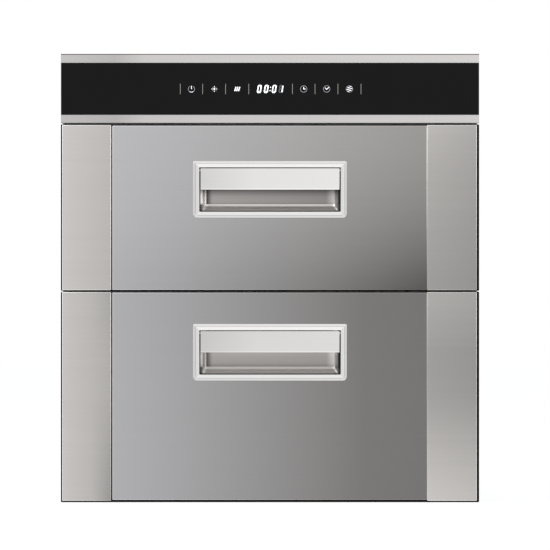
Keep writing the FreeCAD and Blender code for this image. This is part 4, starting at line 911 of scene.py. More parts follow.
    def finish(self, finish: Finish, body: str, *nodes: str, slot: str = "",
               crease: float = 32.0, outward: bool = True, flat: float = math.inf,
               rule: Optional[Rule] = None) -> None:
        """Turns the piece into an object that rides on a body.

        Args:
            finish: its finish.
            body: the CAD body that it moves with.
            nodes: CAD nodes that it stands for.
            slot: material slot in the record that the piece stands for; not used.
            crease: edges sharper than this angle, in degrees, stay sharp.
            outward: whether all normals are recalculated.
            flat: faces with a larger area than this, in square millimetres, are shaded flat.
            rule: painted shade or highlight of each face, for a finish that is shaded.
        """
        if outward:
            bmesh.ops.recalc_face_normals(self.bm, faces=list(self.bm.faces))
        if rule:
            self.shade(rule)
        bmesh.ops.scale(self.bm, vec=(MM, MM, MM), verts=list(self.bm.verts))
        mesh = bpy.data.meshes.new(self.name)
        self.bm.to_mesh(mesh)
        self.bm.free()
        mesh.set_sharp_from_angle(angle=math.radians(crease))
        for polygon in mesh.polygons:
            polygon.use_smooth = polygon.area < flat * MM * MM
        mesh.materials.append(finish.material())
        made = bpy.data.objects.new(self.name, mesh)
        bpy.context.scene.collection.objects.link(made)
        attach(made, body)
        if nodes:
            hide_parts(*nodes)
        LOG.info("%s: %d faces on %s", self.name, len(mesh.polygons), body)


# ---- the finishes in use
WHITE = (255, 255, 255)
STILE_TINT = (255, 251, 248)
BOWL_TINT = (255, 250, 247)
# Cool and warm ends of the painted reflection across the centre panels.
COOL = (251, 251, 255)
WARM = (255, 251, 247)
SKIN_LEFT, SKIN_RIGHT = -295.7, 295.7
CENTRE_LEFT, CENTRE_RIGHT = -224.5, 224.5
UPPER_SKIN = (301.9, 536.9)
LOWER_SKIN = (1.9, 298.9)


def bowl_painted_light(foot: float, top: float, wall: Pair, crease: float,
               painted_wall_shade: Stops) -> PaintedLight:
    """Painted shade and highlights in a finger bowl: ledge, slopes and back wall, between the
    mouth's sides.

    Args:
        foot: height of the mouth's lower edge.
        top: height of the flap's lower edge.
        wall: painted reflection levels of the back wall at the left and at the right.
        crease: painted shade level of the crease between the left slope and the back wall.
        painted_wall_shade: painted shade and highlight down the back wall to the ridge of the
            foot's slope.

    Returns:
        The painted light.
    """
    left, right = wall
    # Across: dark mouth edges as painted shadow, bright slopes as painted highlights, then the
    # back wall's painted reflection; down: painted highlight at the ridge, painted shade to
    # the lower edge.
    return PaintedLight(-100.5, 100.5, foot, top,
                 top=((0.0, 50), (0.008, 185), (0.021, 255), (0.041, 255), (0.05, crease),
                      (0.09, left), (0.9, right), (0.952, right + 55), (0.974, right + 60),
                      (0.984, 60), (1.0, 40)),
                 foot=((0.0, 60), (0.018, 90), (0.035, 255), (0.95, 245), (0.985, 70),
                       (1.0, 50)),
                 ridge=0.655,
                 column=painted_wall_shade + ((0.75, 255), (0.85, 255), (0.96, 180), (0.975, 85),
                                       (1.0, 60)))


# Painted highlight along the flap's rolled lower edge.
FLAP_PAINTED_HIGHLIGHT = ((0.0, 232), (0.83, 232), (0.85, 255), (1.0, 255))


@dataclass(frozen=True)
class Finishes:
    """Every finish of the cabinet."""

    # The PaintedLight ramps below paint reflections, highlights and shade into the stiles,
    # centre panels, fascia, bowls and flaps.
    upper_stile: Finish = BrushedMetal(
        "Stile steel upper", STILE_TINT, 0.36, shaded=True,
        painted_light=PaintedLight(SKIN_LEFT, SKIN_RIGHT, *UPPER_SKIN, bend=0.6,
                    top=((0.0, 203), (0.12, 190), (0.88, 190), (1.0, 175)),
                    foot=((0.0, 200), (0.12, 183), (0.88, 158), (1.0, 148))))
    lower_stile: Finish = BrushedMetal(
        "Stile steel lower", STILE_TINT, 0.36, shaded=True,
        painted_light=PaintedLight(SKIN_LEFT, SKIN_RIGHT, *LOWER_SKIN,
                    top=((0.0, 198), (0.12, 177), (0.88, 155), (1.0, 146)),
                    foot=((0.0, 200), (0.07, 186), (0.12, 152), (0.88, 200), (1.0, 190)),
                    shares=((0.0, 0.4), (0.3, 0.07), (0.5, 0.14), (1.0, 1.0))))
    upper_centre: Finish = BrushedMetal(
        "Centre steel upper", WHITE, 0.30, streaks=0.05, bands=0.03, shaded=True,
        painted_light=PaintedLight(CENTRE_LEFT, CENTRE_RIGHT, *UPPER_SKIN,
                    top=((0.0, 190), (1.0, 155)), foot=((0.0, 178), (1.0, 88)),
                    bend=1.6, left=COOL, right=WARM))
    lower_centre: Finish = BrushedMetal(
        "Centre steel lower", WHITE, 0.30, streaks=0.05, bands=0.03, shaded=True,
        painted_light=PaintedLight(CENTRE_LEFT, CENTRE_RIGHT, *LOWER_SKIN,
                    top=((0.0, 178), (0.8, 123), (1.0, 119)), left=COOL, right=WARM))
    fascia: Finish = BrushedMetal(
        "Fascia steel", (255, 252, 250), 0.34,
        painted_light=PaintedLight(-297.5, 297.5, 539.8, 638.0,
                    top=((0.0, 198), (0.13, 186), (0.2, 205), (1.0, 212)),
                    # the column's first stops paint a dark shade line along the top edge
                    column=((0.0, 90), (0.010, 95), (0.014, 255), (0.2, 255), (1.0, 247))))
    inner_steel: Finish = BrushedMetal("Inner steel", (196, 196, 198), 0.30, streaks=0.08)
    chamber_steel: Finish = BrushedMetal(
        "Chamber steel", (222, 222, 224), 0.32, brush=Brush.DEPTHWISE, streaks=0.06)
    frame_steel: Finish = BrushedMetal(
        "Frame steel", (188, 187, 187), 0.36, brush=Brush.UPRIGHT)
    handle: Finish = BrushedMetal("Handle satin", (242, 241, 240), 0.34, brush=Brush.CAST,
                                  streaks=0.05, bands=0.02, shaded=True)
    upper_bowl: Finish = BrushedMetal(
        "Handle bowl upper", BOWL_TINT, 0.42,
        painted_light=bowl_painted_light(413.5, 444.8, (165, 145), 48, (
            (0.0, 190), (0.3, 250), (0.56, 255), (0.63, 225), (0.67, 255))))
    lower_bowl: Finish = BrushedMetal(
        "Handle bowl lower", BOWL_TINT, 0.42,
        painted_light=bowl_painted_light(181.9, 213.2, (196, 189), 90, (
            (0.0, 255), (0.2, 225), (0.5, 208), (0.63, 180), (0.7, 220))))
    upper_flap: Finish = BrushedMetal(
        "Flap satin upper", (255, 254, 253), 0.30, streaks=0.06, bands=0.03,
        painted_light=PaintedLight(-99.5, 99.5, 440.0, 480.0, column=FLAP_PAINTED_HIGHLIGHT,
                    top=((0.0, 231), (0.4, 251), (1.0, 252))))
    lower_flap: Finish = BrushedMetal(
        "Flap satin lower", (255, 254, 252), 0.30, streaks=0.06, bands=0.03,
        painted_light=PaintedLight(-99.5, 99.5, 208.0, 250.0, column=FLAP_PAINTED_HIGHLIGHT,
                    top=((0.0, 219), (0.4, 238), (1.0, 240))))
    pin: Finish = BrushedMetal(
        "Pin steel", (190, 190, 192), 0.22, brush=Brush.CAST, streaks=0.03)
    runner: Finish = BrushedMetal(
        "Runner zinc", (186, 189, 194), 0.30, brush=Brush.DEPTHWISE, streaks=0.08)
    wire: Finish = BrushedMetal(
        "Wire steel", (214, 214, 216), 0.16, brush=Brush.CAST, streaks=0.04)
    pan: Finish = Moulded("Pan black", (8, 8, 9), 0.6, grain_scale=1400.0, gloss=0.02)
    glass: Finish = BackPaintedGlass("Control glass", (10, 9, 10), 0.08, reflectance=0.13)
    seal: Finish = Moulded("Seal grey", (62, 63, 66), 0.62, grain_scale=2200.0, gloss=0.35)
    black_plastic: Finish = Moulded("Black plastic", (28, 28, 29), 0.55)
    white_plastic: Finish = Moulded("White plastic", (226, 226, 222), 0.38)
    ceramic: Finish = Moulded("Ceramic", (228, 223, 212), 0.62, grain_scale=1800.0)
    wool: Finish = Moulded("Mineral wool", (214, 205, 176), 0.95, grain_scale=380.0,
                           relief=0.0006, gloss=0.05, change=0.3)
    rubber: Finish = Moulded("Rubber black", (24, 24, 24), 0.78, gloss=0.25)
    board: Finish = Moulded(
        "Board green", (26, 82, 48), 0.34, grain_scale=600.0, relief=0.00006)
    display: Finish = Moulded("Display face", (30, 30, 32), 0.2, coat=0.4)
    zinc: Finish = Galvanised("Zinc sheet", (180, 184, 189), 0.42)
    lamp_glass: Finish = ClearTube("Lamp glass", (236, 240, 246), 0.05)
    quartz: Finish = ClearTube("Quartz milk", (238, 232, 224), 0.35, transmission=0.45)
    cage: Finish = BrushedMetal("Coil alloy", (150, 128, 104), 0.35, brush=Brush.CAST)
    # Only the lit figures are light of the display; the unlit bars, printed marks and dividers
    # get a faint painted glow.
    figure: Finish = Lit("Figure white", (250, 252, 255), 0.5, glow=1.0)
    ghost: Finish = Lit("Figure unlit", (96, 98, 102), 0.5, glow=0.55)
    mark: Finish = Lit("Mark white", (236, 236, 240), 0.5, glow=0.95)
    ring: Finish = Lit("Mark grey", (150, 150, 154), 0.5, glow=0.9)
    divider: Finish = Lit("Divider gold", (136, 134, 128), 0.5, glow=0.9)


FINISH = Finishes()


def finish_of(drawer: str, part: str) -> Finish:
    """Finish that a part of the upper or lower drawer has for itself."""
    return getattr(FINISH, f"{drawer}_{part}")


# ---- drawer fronts
@dataclass
class FoldedSkin:
    """Steel skin with four returned edges, in millimetres."""

    x0: float
    x1: float
    foot: float
    top: float
    depth: float = 9.0
    radius: float = 0.8
    sheet: float = 1.0
    hole: Optional[Box] = None

    def shape(self, piece: Workpiece) -> None:
        """Builds the skin into a piece.

        Args:
            piece: the workpiece that the skin goes into.
        """
        bm = piece.bm
        before = set(bm.faces)
        piece.block(at(self.x0, 0, self.foot), at(self.x1, self.depth, self.top))
        rear = [face for face in bm.faces if face not in before
                and face.calc_center_median().y > y_at(self.depth) - 0.01]
        bmesh.ops.delete(bm, geom=rear, context="FACES_ONLY")
        faces = [face for face in bm.faces if face not in before]
        piece.rounded(unique(edge for face in faces for edge in face.edges
                             if len(edge.link_faces) == 2), self.radius, 3)
        if self.hole:
            self.pierce(bm, before)
        faces = [face for face in bm.faces if face not in before]
        bmesh.ops.recalc_face_normals(bm, faces=faces)
        front = max(faces, key=lambda face: face.calc_area())
        if front.normal.y > 0:
            bmesh.ops.reverse_faces(bm, faces=faces)
        bmesh.ops.solidify(bm, geom=faces, thickness=self.sheet)

    def pierce(self, bm: bmesh.types.BMesh, before: Set[Face]) -> None:
        """Cuts the rectangular hole out of the front face.

        Args:
            bm: the mesh that holds the skin.
            before: faces of other skins, which are left alone.
        """
        x0, x1, z0, z1 = self.hole
        for co, no in (((x0, 0, 0), (1, 0, 0)), ((x1, 0, 0), (1, 0, 0)),
                       ((0, 0, z0), (0, 0, 1)), ((0, 0, z1), (0, 0, 1))):
            faces = [face for face in bm.faces if face not in before]
            geom = faces + unique(e for f in faces for e in f.edges) \
                + unique(v for f in faces for v in f.verts)
            bmesh.ops.bisect_plane(bm, geom=geom, plane_co=co, plane_no=no)
        inside = [face for face in bm.faces if face not in before
                  and x0 < face.calc_center_median().x < x1
                  and z0 < face.calc_center_median().z < z1
                  and face.calc_center_median().y < y_at(0.1)]
        bmesh.ops.delete(bm, geom=inside, context="FACES")


def fold_shade(middle: Vector, normal: Vector) -> float:
    """Painted highlight on a skin's face: its rounded folds are painted brighter than the
    flat.

    Args:
        middle: the face's middle.
        normal: its outward normal.

    Returns:
        The shade.
    """
    # painted highlight on the rounded folds
    fold_depth, painted_highlight = 1.0, 1.85
    on_fold = middle.y < y_at(fold_depth) and 0.15 < -normal.y < 0.97
    return painted_highlight if on_fold else 1.0


@dataclass
class PullHandle:
    """Flush handle: stepped bezel, finger bowl and a hinged flap."""

    name: str
    foot: float
    top: float
    half: float = 109.5
    bezel: float = 9.0
    step: float = 4.0
    foot_radius: float = 6.5
    top_radius: float = 2.6
    wall: float = 1.5
    flap_height: float = 30.5
    flap_gap: float = 1.1
    flap_half: float = 98.9
    lug_inset: float = 18.0
    lug_half: float = 12.0
    lug_radius: float = 2.8
    pin_depth: float = 3.15

    def build(self) -> None:
        """Builds the housing and the flap."""
        self.housing()
        self.flap()

    def ring(self, piece: Workpiece, inset: float, depth: float,
             draft: Point = (0.0, 0.0, 0.0), corner: Optional[float] = None) -> List[Edge]:
        """Adds one loop of the housing.

        Args:
            piece: the housing in the making.
            inset: distance in from the bezel's outline.
            depth: depth of the loop.
            draft: extra inset at the sides, the foot and the top.
            corner: radius of all corners, where it isn't the outline's less the inset.

        Returns:
            The loop's edges.
        """
        side, foot, top = draft
        foot_r = max(self.foot_radius - inset * 0.5, 1.2) if corner is None else corner
        top_r = max(self.top_radius - inset * 0.4, 0.6) if corner is None else corner
        half = self.half - inset - side
        box = (-half, half, self.foot + inset + foot, self.top - inset - top)
        return piece.frame_loop(box, depth, foot_r, top_r)

    def housing(self) -> None:
        """Cast bezel with its two steps and rounded lips, and the bowl in a finish with
        painted shade and highlights.
        """
        piece = Workpiece(self.name + "_handle_bezel")
        outer, band = self.bezel, self.step
        rows = ((0.0, 0.0), (0.0, -0.75), (0.15, -1.08), (0.5, -1.2), (band - 0.5, -1.2),
                (band - 0.1, -1.3), (band, -1.55), (band + 0.1, -1.85), (band + 0.5, -2.0),
                (outer - 0.6, -2.0), (outer - 0.15, -1.85), (outer, -1.4), (outer, 1.5))
        piece.lofted([self.ring(piece, inset, depth) for inset, depth in rows])
        piece.finish(FINISH.handle, self.name + "_drawer", self.name + "_handle_housing",
                     slot="handle_satin", crease=50.0, rule=self.bezel_shade)
        bowl = Workpiece(self.name + "_handle_bowl")
        rows = ((0.0, 0.0, 0.0, 1.4, 1.8), (0.0, 0.0, 0.0, 5.6, 1.8),
                (1.0, 0.3, 0.2, 6.7, 2.2), (3.8, 1.4, 0.6, 8.0, 3.2),
                (5.0, 3.4, 0.9, 9.6, 4.0), (6.4, 6.3, 1.3, 13.4, 4.6),
                (8.0, 8.7, 1.7, 15.4, 4.8), (9.8, 11.4, 2.0, 16.6, 4.6),
                (12.6, 13.6, 3.4, 17.0, 4.2))
        loops = [
            self.ring(bowl, outer, depth, draft, corner) for *draft, depth, corner in rows]
        bowl.lofted(loops)
        bowl.disc(loops[-1])
        faces = list(bowl.bm.faces)
        bmesh.ops.recalc_face_normals(bowl.bm, faces=faces)
        back = max(faces, key=lambda face: face.calc_center_median().y)
        if back.normal.y > 0:
            bmesh.ops.reverse_faces(bowl.bm, faces=faces)
        bmesh.ops.solidify(bowl.bm, geom=faces, thickness=self.wall)
        bowl.finish(finish_of(self.name, "bowl"), self.name + "_drawer", slot="handle_satin",
                    crease=70.0, outward=False)

    def bezel_shade(self, middle: Vector, normal: Vector) -> float:
        """Painted shade of a bezel's face by its way in from the outline: a dark line at each
        step.

        Args:
            middle: the face's middle.
            normal: its outward normal.

        Returns:
            The shade.
        """
        lip, line_end, mouth = 0.45, 0.15, 0.3
        side, foot = self.half - abs(middle.x), middle.z - self.foot
        inset = min(side, self.top - middle.z, foot)
        # Painted shade: the sides and the foot darker than the top, as light from above falls.
        way = 0.8 if inset == side else 0.9 if inset == foot else 1.0
        # Painted shadow on the lip's faces that look down or to the right; then a painted
        # shade line at the step and towards the mouth.
        if inset < lip:
            return 0.45 if normal.z < -0.2 or normal.x > 0.2 else 0.9
        if inset < self.step - lip:
            return 0.88 * way
        if inset < self.step + line_end:
            return 0.58 * way
        if inset > self.bezel - mouth:
            return 0.7 * way
        return way

    def flap(self) -> None:
        """Flap plate with a rolled grip, soft edges and its two lugs."""
        top = self.top - self.bezel - self.flap_gap
        foot = top - self.flap_height
        piece = Workpiece(self.name + "_flap_plate")
        piece.block(at(-self.flap_half, -1.0, foot), at(self.flap_half, 0.6, top), 0.45, 3)
        piece.block(at(-self.flap_half + 0.2, -0.9, foot + 0.1),
                    at(self.flap_half - 0.2, 4.0, foot + 4.0), 1.2, 4)
        axis_z = top - self.lug_radius
        for side in Side:
            x0 = side.value * (self.flap_half - self.lug_inset) - self.lug_half
            piece.block(at(x0, 0.0, axis_z - self.lug_radius),
                        at(x0 + 2 * self.lug_half, self.pin_depth + self.lug_radius, top),
                        0.8, 3)
        piece.finish(finish_of(self.name, "flap"), self.name + "_flap",
                     self.name + "_handle_flap", slot="handle_satin", crease=40.0)


@dataclass
class DrawerFront:
    """Front of one drawer: two stiles, the centre panel, the seal and the handle."""

    name: str
    foot: float
    top: float
    pan_foot: float
    pan_top: float
    handle_foot: float
    handle_top: float
    chamber_foot: float
    chamber_top: float
    foot_inset: float
    top_inset: float
    centre_left: float = -224.3
    centre_right: float = 223.5
    left_groove: float = 1.7
    right_joint: float = 0.15
    right_end: float = 294.3
    hole_half: float = 102.5
    hole_inset: float = 7.0

    @property
    def body(self) -> str:
        """The CAD body of this drawer."""
        return self.name + "_drawer"

    def build(self) -> None:
        """Builds every piece of the front."""
        self.skins()
        self.pan()
        PullHandle(self.name, self.handle_foot, self.handle_top).build()
        self.seal()
        self.rear_skin()

    def skins(self) -> None:
        """Two stiles as one piece, and the centre panel with the handle's hole."""
        stiles = Workpiece(self.name + "_stile_skins")
        for x0, x1 in ((SKIN_LEFT, self.centre_left - self.left_groove),
                       (self.centre_right + self.right_joint, self.right_end)):
            FoldedSkin(x0, x1, self.foot, self.top).shape(stiles)
        centre = Workpiece(self.name + "_centre_skin")
        hole = (-self.hole_half, self.hole_half, self.handle_foot + self.hole_inset,
                self.handle_top - self.hole_inset)
        FoldedSkin(self.centre_left, self.centre_right, self.foot + self.foot_inset,
                   self.top - self.top_inset, hole=hole).shape(centre)
        for piece, part, node, slot in (
                (stiles, "stile", "_stiles", "steel_satin"),
                (centre, "centre", "_centre_panel", "steel_dark")):
            piece.finish(finish_of(self.name, part), self.body, self.name + node, slot=slot,
                         outward=False, flat=500.0, rule=fold_shade)

    def pan(self) -> None:
        """Black tray behind the skins: its rounded rim shows as a dark line round them."""
        piece = Workpiece(self.name + "_black_pan")
        rows = ((1.6, 22.0), (1.6, 1.2), (1.3, 0.9), (0.5, 0.9), (0.0, 1.4), (0.0, 22.2),
                (0.3, 22.8), (0.9, 23.0))
        loops = piece.framed(
            297.5, self.pan_foot, self.pan_top, [row + (1.2,) for row in rows], 3)
        piece.lofted(loops)
        piece.disc(loops[0])
        piece.disc(loops[-1])
        piece.finish(FINISH.pan, self.body, self.name + "_door_pan", slot="pan_black",
                     crease=40.0, flat=2000.0)

    def seal(self) -> None:
        """Silicone seal: a flat base, a hollow bead and a thin lip round the opening."""
        piece = Workpiece(self.name + "_seal_ring")
        margin, corner = 8.0, 3.0
        rows = ((0.0, 24.0), (0.0, 25.4), (1.6, 26.0), (3.0, 27.3), (5.0, 27.8), (7.0, 27.3),
                (8.2, 26.0), (9.6, 25.6), (11.0, 26.4), (12.0, 26.2), (12.0, 24.0))
        loops = piece.framed(258.0, self.chamber_foot - margin, self.chamber_top + margin,
                             [(-out, depth, corner + out) for out, depth in rows], 5)
        piece.lofted(loops + [loops[0]])
        piece.finish(
            FINISH.seal, self.body, self.name + "_gasket", slot="seal_grey", crease=60.0)

    def rear_skin(self) -> None:
        """Inner panel: a sheet with a pressed field and rounded edges."""
        piece = Workpiece(self.name + "_rear_skin")
        rim, border = 4.0, 12.0
        loops = piece.framed(
            293.5, self.pan_foot + rim, self.pan_top - rim,
            ((0.0, 23.0, 2.0), (0.0, 23.7, 2.0), (0.3, 24.0, 2.0)), 3)
        loops += piece.framed(
            238.0, self.chamber_foot + border, self.chamber_top - border,
            ((0.0, 24.0, 9.0), (1.4, 23.85, 8.2), (4.0, 23.3, 7.2), (5.4, 23.2, 6.8)), 3)
        piece.lofted(loops)
        piece.disc(loops[-1])
        piece.disc(loops[0])
        piece.finish(FINISH.inner_steel, self.body, self.name + "_inner_panel",
                     slot="steel_inner", crease=25.0, flat=1000.0)


# ---- control panel
class KeyMark(Enum):
    """The six touch marks, with the X of each on the glass."""

    POWER = -111.7
    STERILIZE = -79.2
    HEAT = -46.6
    TIMER = 47.9
    DELAY = 80.6
    DRY = 113.0


@dataclass
class ControlPanel:
    """Steel fascia, glass strip, touch marks and the lit clock figures."""

    foot: float = 539.8
    top: float = 638.0
    glass_foot: float = 551.8
    glass_top: float = 624.8
    half: float = 297.5
    key_line: float = 588.1
    face: float = -0.4
    lift: float = 0.06
    body: str = "cabinet"

    def build(self) -> None:
        """Builds the panel."""
        self.fascia()
        self.glass()
        self.marks()
        self.dividers()
        self.clock()

    def fascia(self) -> None:
        """Folded fascia: rounded strips above and below the glass, and its channel."""
        piece = Workpiece("control_fascia_fold")
        seat, sheet, rear = 3.6, 1.0, 28.0
        low, high = self.glass_foot - 0.3, self.glass_top + 0.3
        profile = [at(-self.half, depth, z) for depth, z in (
            (rear, self.foot), (0.0, self.foot), (0.0, low), (seat, low), (seat, high),
            (0.0, high), (0.0, self.top), (rear, self.top))]
        piece.rolled(profile, (2 * self.half, 0.0, 0.0), sheet, 0.6, towards=DOWN)
        piece.finish(
            FINISH.fascia, self.body, "control_fascia", slot="steel_satin", outward=False)

    def glass(self) -> None:
        """Glass strip with ground edges."""
        piece = Workpiece("control_glass_strip")
        piece.block(at(-self.half + 0.1, self.face, self.glass_foot),
                    at(self.half - 0.1, 3.6, self.glass_top), 0.35, 3)
        piece.finish(
            FINISH.glass, self.body, "control_glass", slot="glass_black", flat=1000.0)

    def stroke(self, piece: Workpiece, one: Pair, two: Pair,
               width: float) -> None:
        """Adds a thin straight stroke on the glass.

        Args:
            piece: the workpiece.
            one: X and Z of its start.
            two: X and Z of its end.
            width: its width.
        """
        run = Vector((two[0] - one[0], 0.0, two[1] - one[1]))
        verts = bmesh.ops.create_cube(piece.bm, size=1.0)["verts"]
        bmesh.ops.scale(piece.bm, vec=(run.length, self.lift, width), verts=verts)
        turn = Matrix.Rotation(-math.atan2(run.z, run.x), 3, "Y")
        bmesh.ops.rotate(piece.bm, cent=(0, 0, 0), matrix=turn, verts=verts)
        bmesh.ops.translate(piece.bm, vec=((one[0] + two[0]) / 2,
                                           y_at(self.face - self.lift / 2),
                                           (one[1] + two[1]) / 2), verts=verts)

    def arc(self, piece: Workpiece, x: float, z: float, radius: float, width: float,
            start: float = 0.0, sweep: float = 360.0) -> None:
        """Adds a thin band round a centre.

        Args:
            piece: the workpiece.
            x: X of the centre.
            z: Z of the centre.
            radius: radius of the band's middle.
            width: the band's width.
            start: angle where it starts, in degrees.
            sweep: angle that it goes through, in degrees.
        """
        verts = bmesh.ops.create_grid(piece.bm, x_segments=1, y_segments=1, size=0.5)["verts"]
        bmesh.ops.scale(piece.bm, vec=(width, self.lift, 1.0), verts=verts)
        bmesh.ops.translate(
            piece.bm, vec=at(x + radius, self.face - self.lift / 2, z), verts=verts)
        centre = (x, 0.0, z)
        bmesh.ops.rotate(piece.bm, cent=centre,
                         matrix=Matrix.Rotation(-math.radians(start), 3, "Y"), verts=verts)
        faces = unique(face for vert in verts for face in vert.link_faces)
        full = sweep >= 360.0
        geom = faces + unique(edge for face in faces for edge in face.edges) + list(verts)
        bmesh.ops.spin(piece.bm, geom=geom, cent=centre, axis=(0, -1, 0),
                       angle=math.radians(sweep), steps=28, use_merge=full,
                       use_duplicate=False, use_normal_flip=False)
        if full:
            bmesh.ops.delete(
                piece.bm, geom=[face for face in faces if face.is_valid], context="FACES_ONLY")

    def marks(self) -> None:
        """The six touch marks, printed, with a faint painted glow."""
        piece, faint = Workpiece("touch_marks"), Workpiece("touch_mark_rings")
        z, thin, bold = self.key_line, 0.5, 0.9
        x = KeyMark.POWER.value
        self.arc(faint, x, z, 4.5, thin, 125.0, 290.0)
        self.arc(piece, x, z, 4.5, 0.8, 235.0, 70.0)
        self.stroke(piece, (x, z - 0.2), (x, z + 4.4), bold)
        x = KeyMark.STERILIZE.value
        self.stroke(piece, (x - 1.1, z), (x + 1.1, z), 2.2)
        for turn in range(4):
            dx, dz = math.cos(turn * math.pi / 2), math.sin(turn * math.pi / 2)
            self.stroke(piece, (x + 2.3 * dx, z + 2.3 * dz), (x + 4.1 * dx, z + 4.1 * dz), 0.8)
            ex, ez = (dx - dz) * 0.7071, (dx + dz) * 0.7071
            self.stroke(faint, (x + 2.5 * ex, z + 2.5 * ez), (x + 3.7 * ex, z + 3.7 * ez), 0.6)
        x = KeyMark.HEAT.value
        for shift in (-2.7, 0.0, 2.7):
            self.stroke(piece, (x + shift - 0.9, z - 3.0), (x + shift + 1.0, z + 3.0), 1.5)
        for key in (KeyMark.TIMER, KeyMark.DELAY, KeyMark.DRY):
            self.arc(faint, key.value, z, 4.6, thin)
        x = KeyMark.TIMER.value
        self.stroke(piece, (x, z - 0.4), (x, z + 2.9), bold)
        self.stroke(piece, (x - 0.4, z), (x + 2.6, z), bold)
        x = KeyMark.DELAY.value
        self.stroke(piece, (x - 2.4, z + 1.9), (x, z - 0.6), bold)
        self.stroke(piece, (x, z - 0.6), (x + 3.4, z + 2.6), bold)
        x = KeyMark.DRY.value
        for rise in (-2.6, 0.0, 2.6):
            reach = math.sqrt(3.9 ** 2 - rise ** 2)
            self.stroke(piece, (x - reach, z + rise - 0.9), (x + reach, z + rise + 0.9), bold)
        self.printed(faint, FINISH.ring)
        self.printed(piece, FINISH.mark)

    def dividers(self) -> None:
        """Short upright lines between the keys."""
        piece = Workpiece("key_dividers")
        reach = 7.3
        for x in (-127.6, -95.8, -63.2, -30.2, 31.9, 64.0, 96.6, 129.4):
            self.stroke(piece, (x, self.key_line - reach), (x, self.key_line + reach), 0.62)
        self.printed(piece, FINISH.divider)

    def printed(self, piece: Workpiece, finish: Finish) -> None:
        """Finishes strokes as print with a faint painted glow, or as light of the display."""
        piece.finish(finish, self.body, slot="display_face", crease=20.0)

    def clock(self) -> None:
        """Leaning seven-bar figures, lit as a time, over the unlit bars of the last one, which
        have a faint painted glow.
        """
        lit, unlit = Workpiece("clock_figures"), Workpiece("clock_unlit_bars")
        height, width, lean, bold = 11.4, 5.9, 0.16, 1.75
        bars = {"a": ((0, 1), (1, 1)), "b": ((1, 1), (1, 0.5)), "c": ((1, 0.5), (1, 0)),
                "d": ((0, 0), (1, 0)), "e": ((0, 0.5), (0, 0)), "f": ((0, 1), (0, 0.5)),
                "g": ((0, 0.5), (1, 0.5))}
        figures = {0: "abcdef", 1: "bc"}
        for x, figure in zip((-15.1, -5.3, 6.0, 15.6), (0, 0, 0, 1)):
            for bar, corners in bars.items():
                places = []
                for across, up in corners:
                    rise = (up - 0.5) * (height - bold)
                    places.append((x + (across - 0.5) * (width - bold) + rise * lean,
                                   self.key_line + rise))
                (ax, az), (bx, bz) = places
                trim = 0.28 / math.hypot(bx - ax, bz - az)
                ends = ((ax + (bx - ax) * trim, az + (bz - az) * trim),
                        (bx - (bx - ax) * trim, bz - (bz - az) * trim))
                if bar in figures[figure]:
                    self.stroke(lit, *ends, bold)
                elif figure == 1:
                    self.stroke(unlit, *ends, bold * 0.8)
        for rise in (-2.3, 2.3):
            self.stroke(lit, (-0.3 + rise * lean, self.key_line + rise),
                        (1.1 + rise * lean, self.key_line + rise), 1.4)
        self.printed(lit, FINISH.figure)
        self.printed(unlit, FINISH.ghost)


# ---- drawers behind their fronts
@dataclass
class WireBasket:
    """Welded basket of round wire: U-bent wires in two directions inside three closed rims."""

    name: str
    foot: float
    top: float
    half: float = 231.3
    near: float = 30.5
    far: float = 367.5
    corner: float = 22.0
    thick: float = 2.5
    thin: float = 1.6
    run: float = 207.3
    side: float = 227.1
    near_end: float = 34.7
    far_end: float = 363.3

    def build(self) -> None:
        """Builds the basket as one piece."""
        piece = Workpiece(self.name + "_wire_basket")
        floor, rim = self.foot + 6.2, self.top - 2.5
        middle, drop = self.foot + 0.55 * (self.top - self.foot), 2 * self.thin
        rings = [(self.side + out, self.near_end - out, self.far_end + out, z, radius)
                 for out, z, radius in ((4.05, rim, self.thick), (3.2, middle, self.thin))]
        rings.append((self.half, self.near, self.far, self.foot + self.thick, self.thick))
        for x, near, far, z, radius in rings:
            corners = ((x, near), (x, far), (-x, far), (-x, near))
            piece.wire([at(cx, depth, z) for cx, depth in corners], radius, self.corner,
                       sides=10, closed=True, steps=6)
        floor_xs = spread(-self.run, self.run, 9)
        for x in floor_xs:
            piece.wire([at(x, self.near, floor), at(x, self.far, floor)], self.thin)
        for x in midway(floor_xs):
            piece.wire([at(x, self.near_end, rim), at(x, self.near_end, floor),
                        at(x, self.far_end, floor), at(x, self.far_end, rim)],
                       self.thin, 4.0)
        depths = spread(54.5, 343.5, 7)[1:-1]
        for depth in depths:
            piece.wire([at(-self.side, depth, rim), at(-self.side, depth, floor - drop),
                        at(self.side, depth, floor - drop), at(self.side, depth, rim)],
                       self.thin, 3.0)
        between = midway(depths)
        for depth in (between[0], between[-1]):
            piece.wire([at(-self.half, depth, floor - drop),
                        at(self.half, depth, floor - drop)], self.thin)
        piece.finish(FINISH.wire, self.name + "_drawer", self.name + "_basket",
                     slot="basket_steel", crease=70.0)


@dataclass
class PlateRack:
    """Row of bent loops that keep plates upright, on two rails."""

    body: str = "lower_drawer"
    first: float = 14.0
    pitch: float = 25.0
    count: int = 8
    near: float = 94.0
    far: float = 304.0
    foot: float = 90.9
    top: float = 152.9
    rail: float = 2.0
    thin: float = 1.6

    def build(self) -> None:
        """Builds the rack as one piece."""
        piece = Workpiece("lower_plate_loops")
        last = self.first + self.pitch * (self.count - 1)
        height, over = self.foot + self.rail, 4.0
        for depth in (self.near, self.far):
            piece.wire([at(self.first - over, depth, height), at(last + over, depth, height)],
                       self.rail, sides=10)
        for x in spread(self.first, last, self.count):
            foot = self.foot + 3.0
            piece.wire([at(x, self.near, foot), at(x, self.near, self.top),
                        at(x, self.far, self.top), at(x, self.far, foot)],
                       self.thin, 18.0, steps=7)
        piece.finish(
            FINISH.wire, self.body, "lower_plate_rack", slot="basket_steel", crease=70.0)


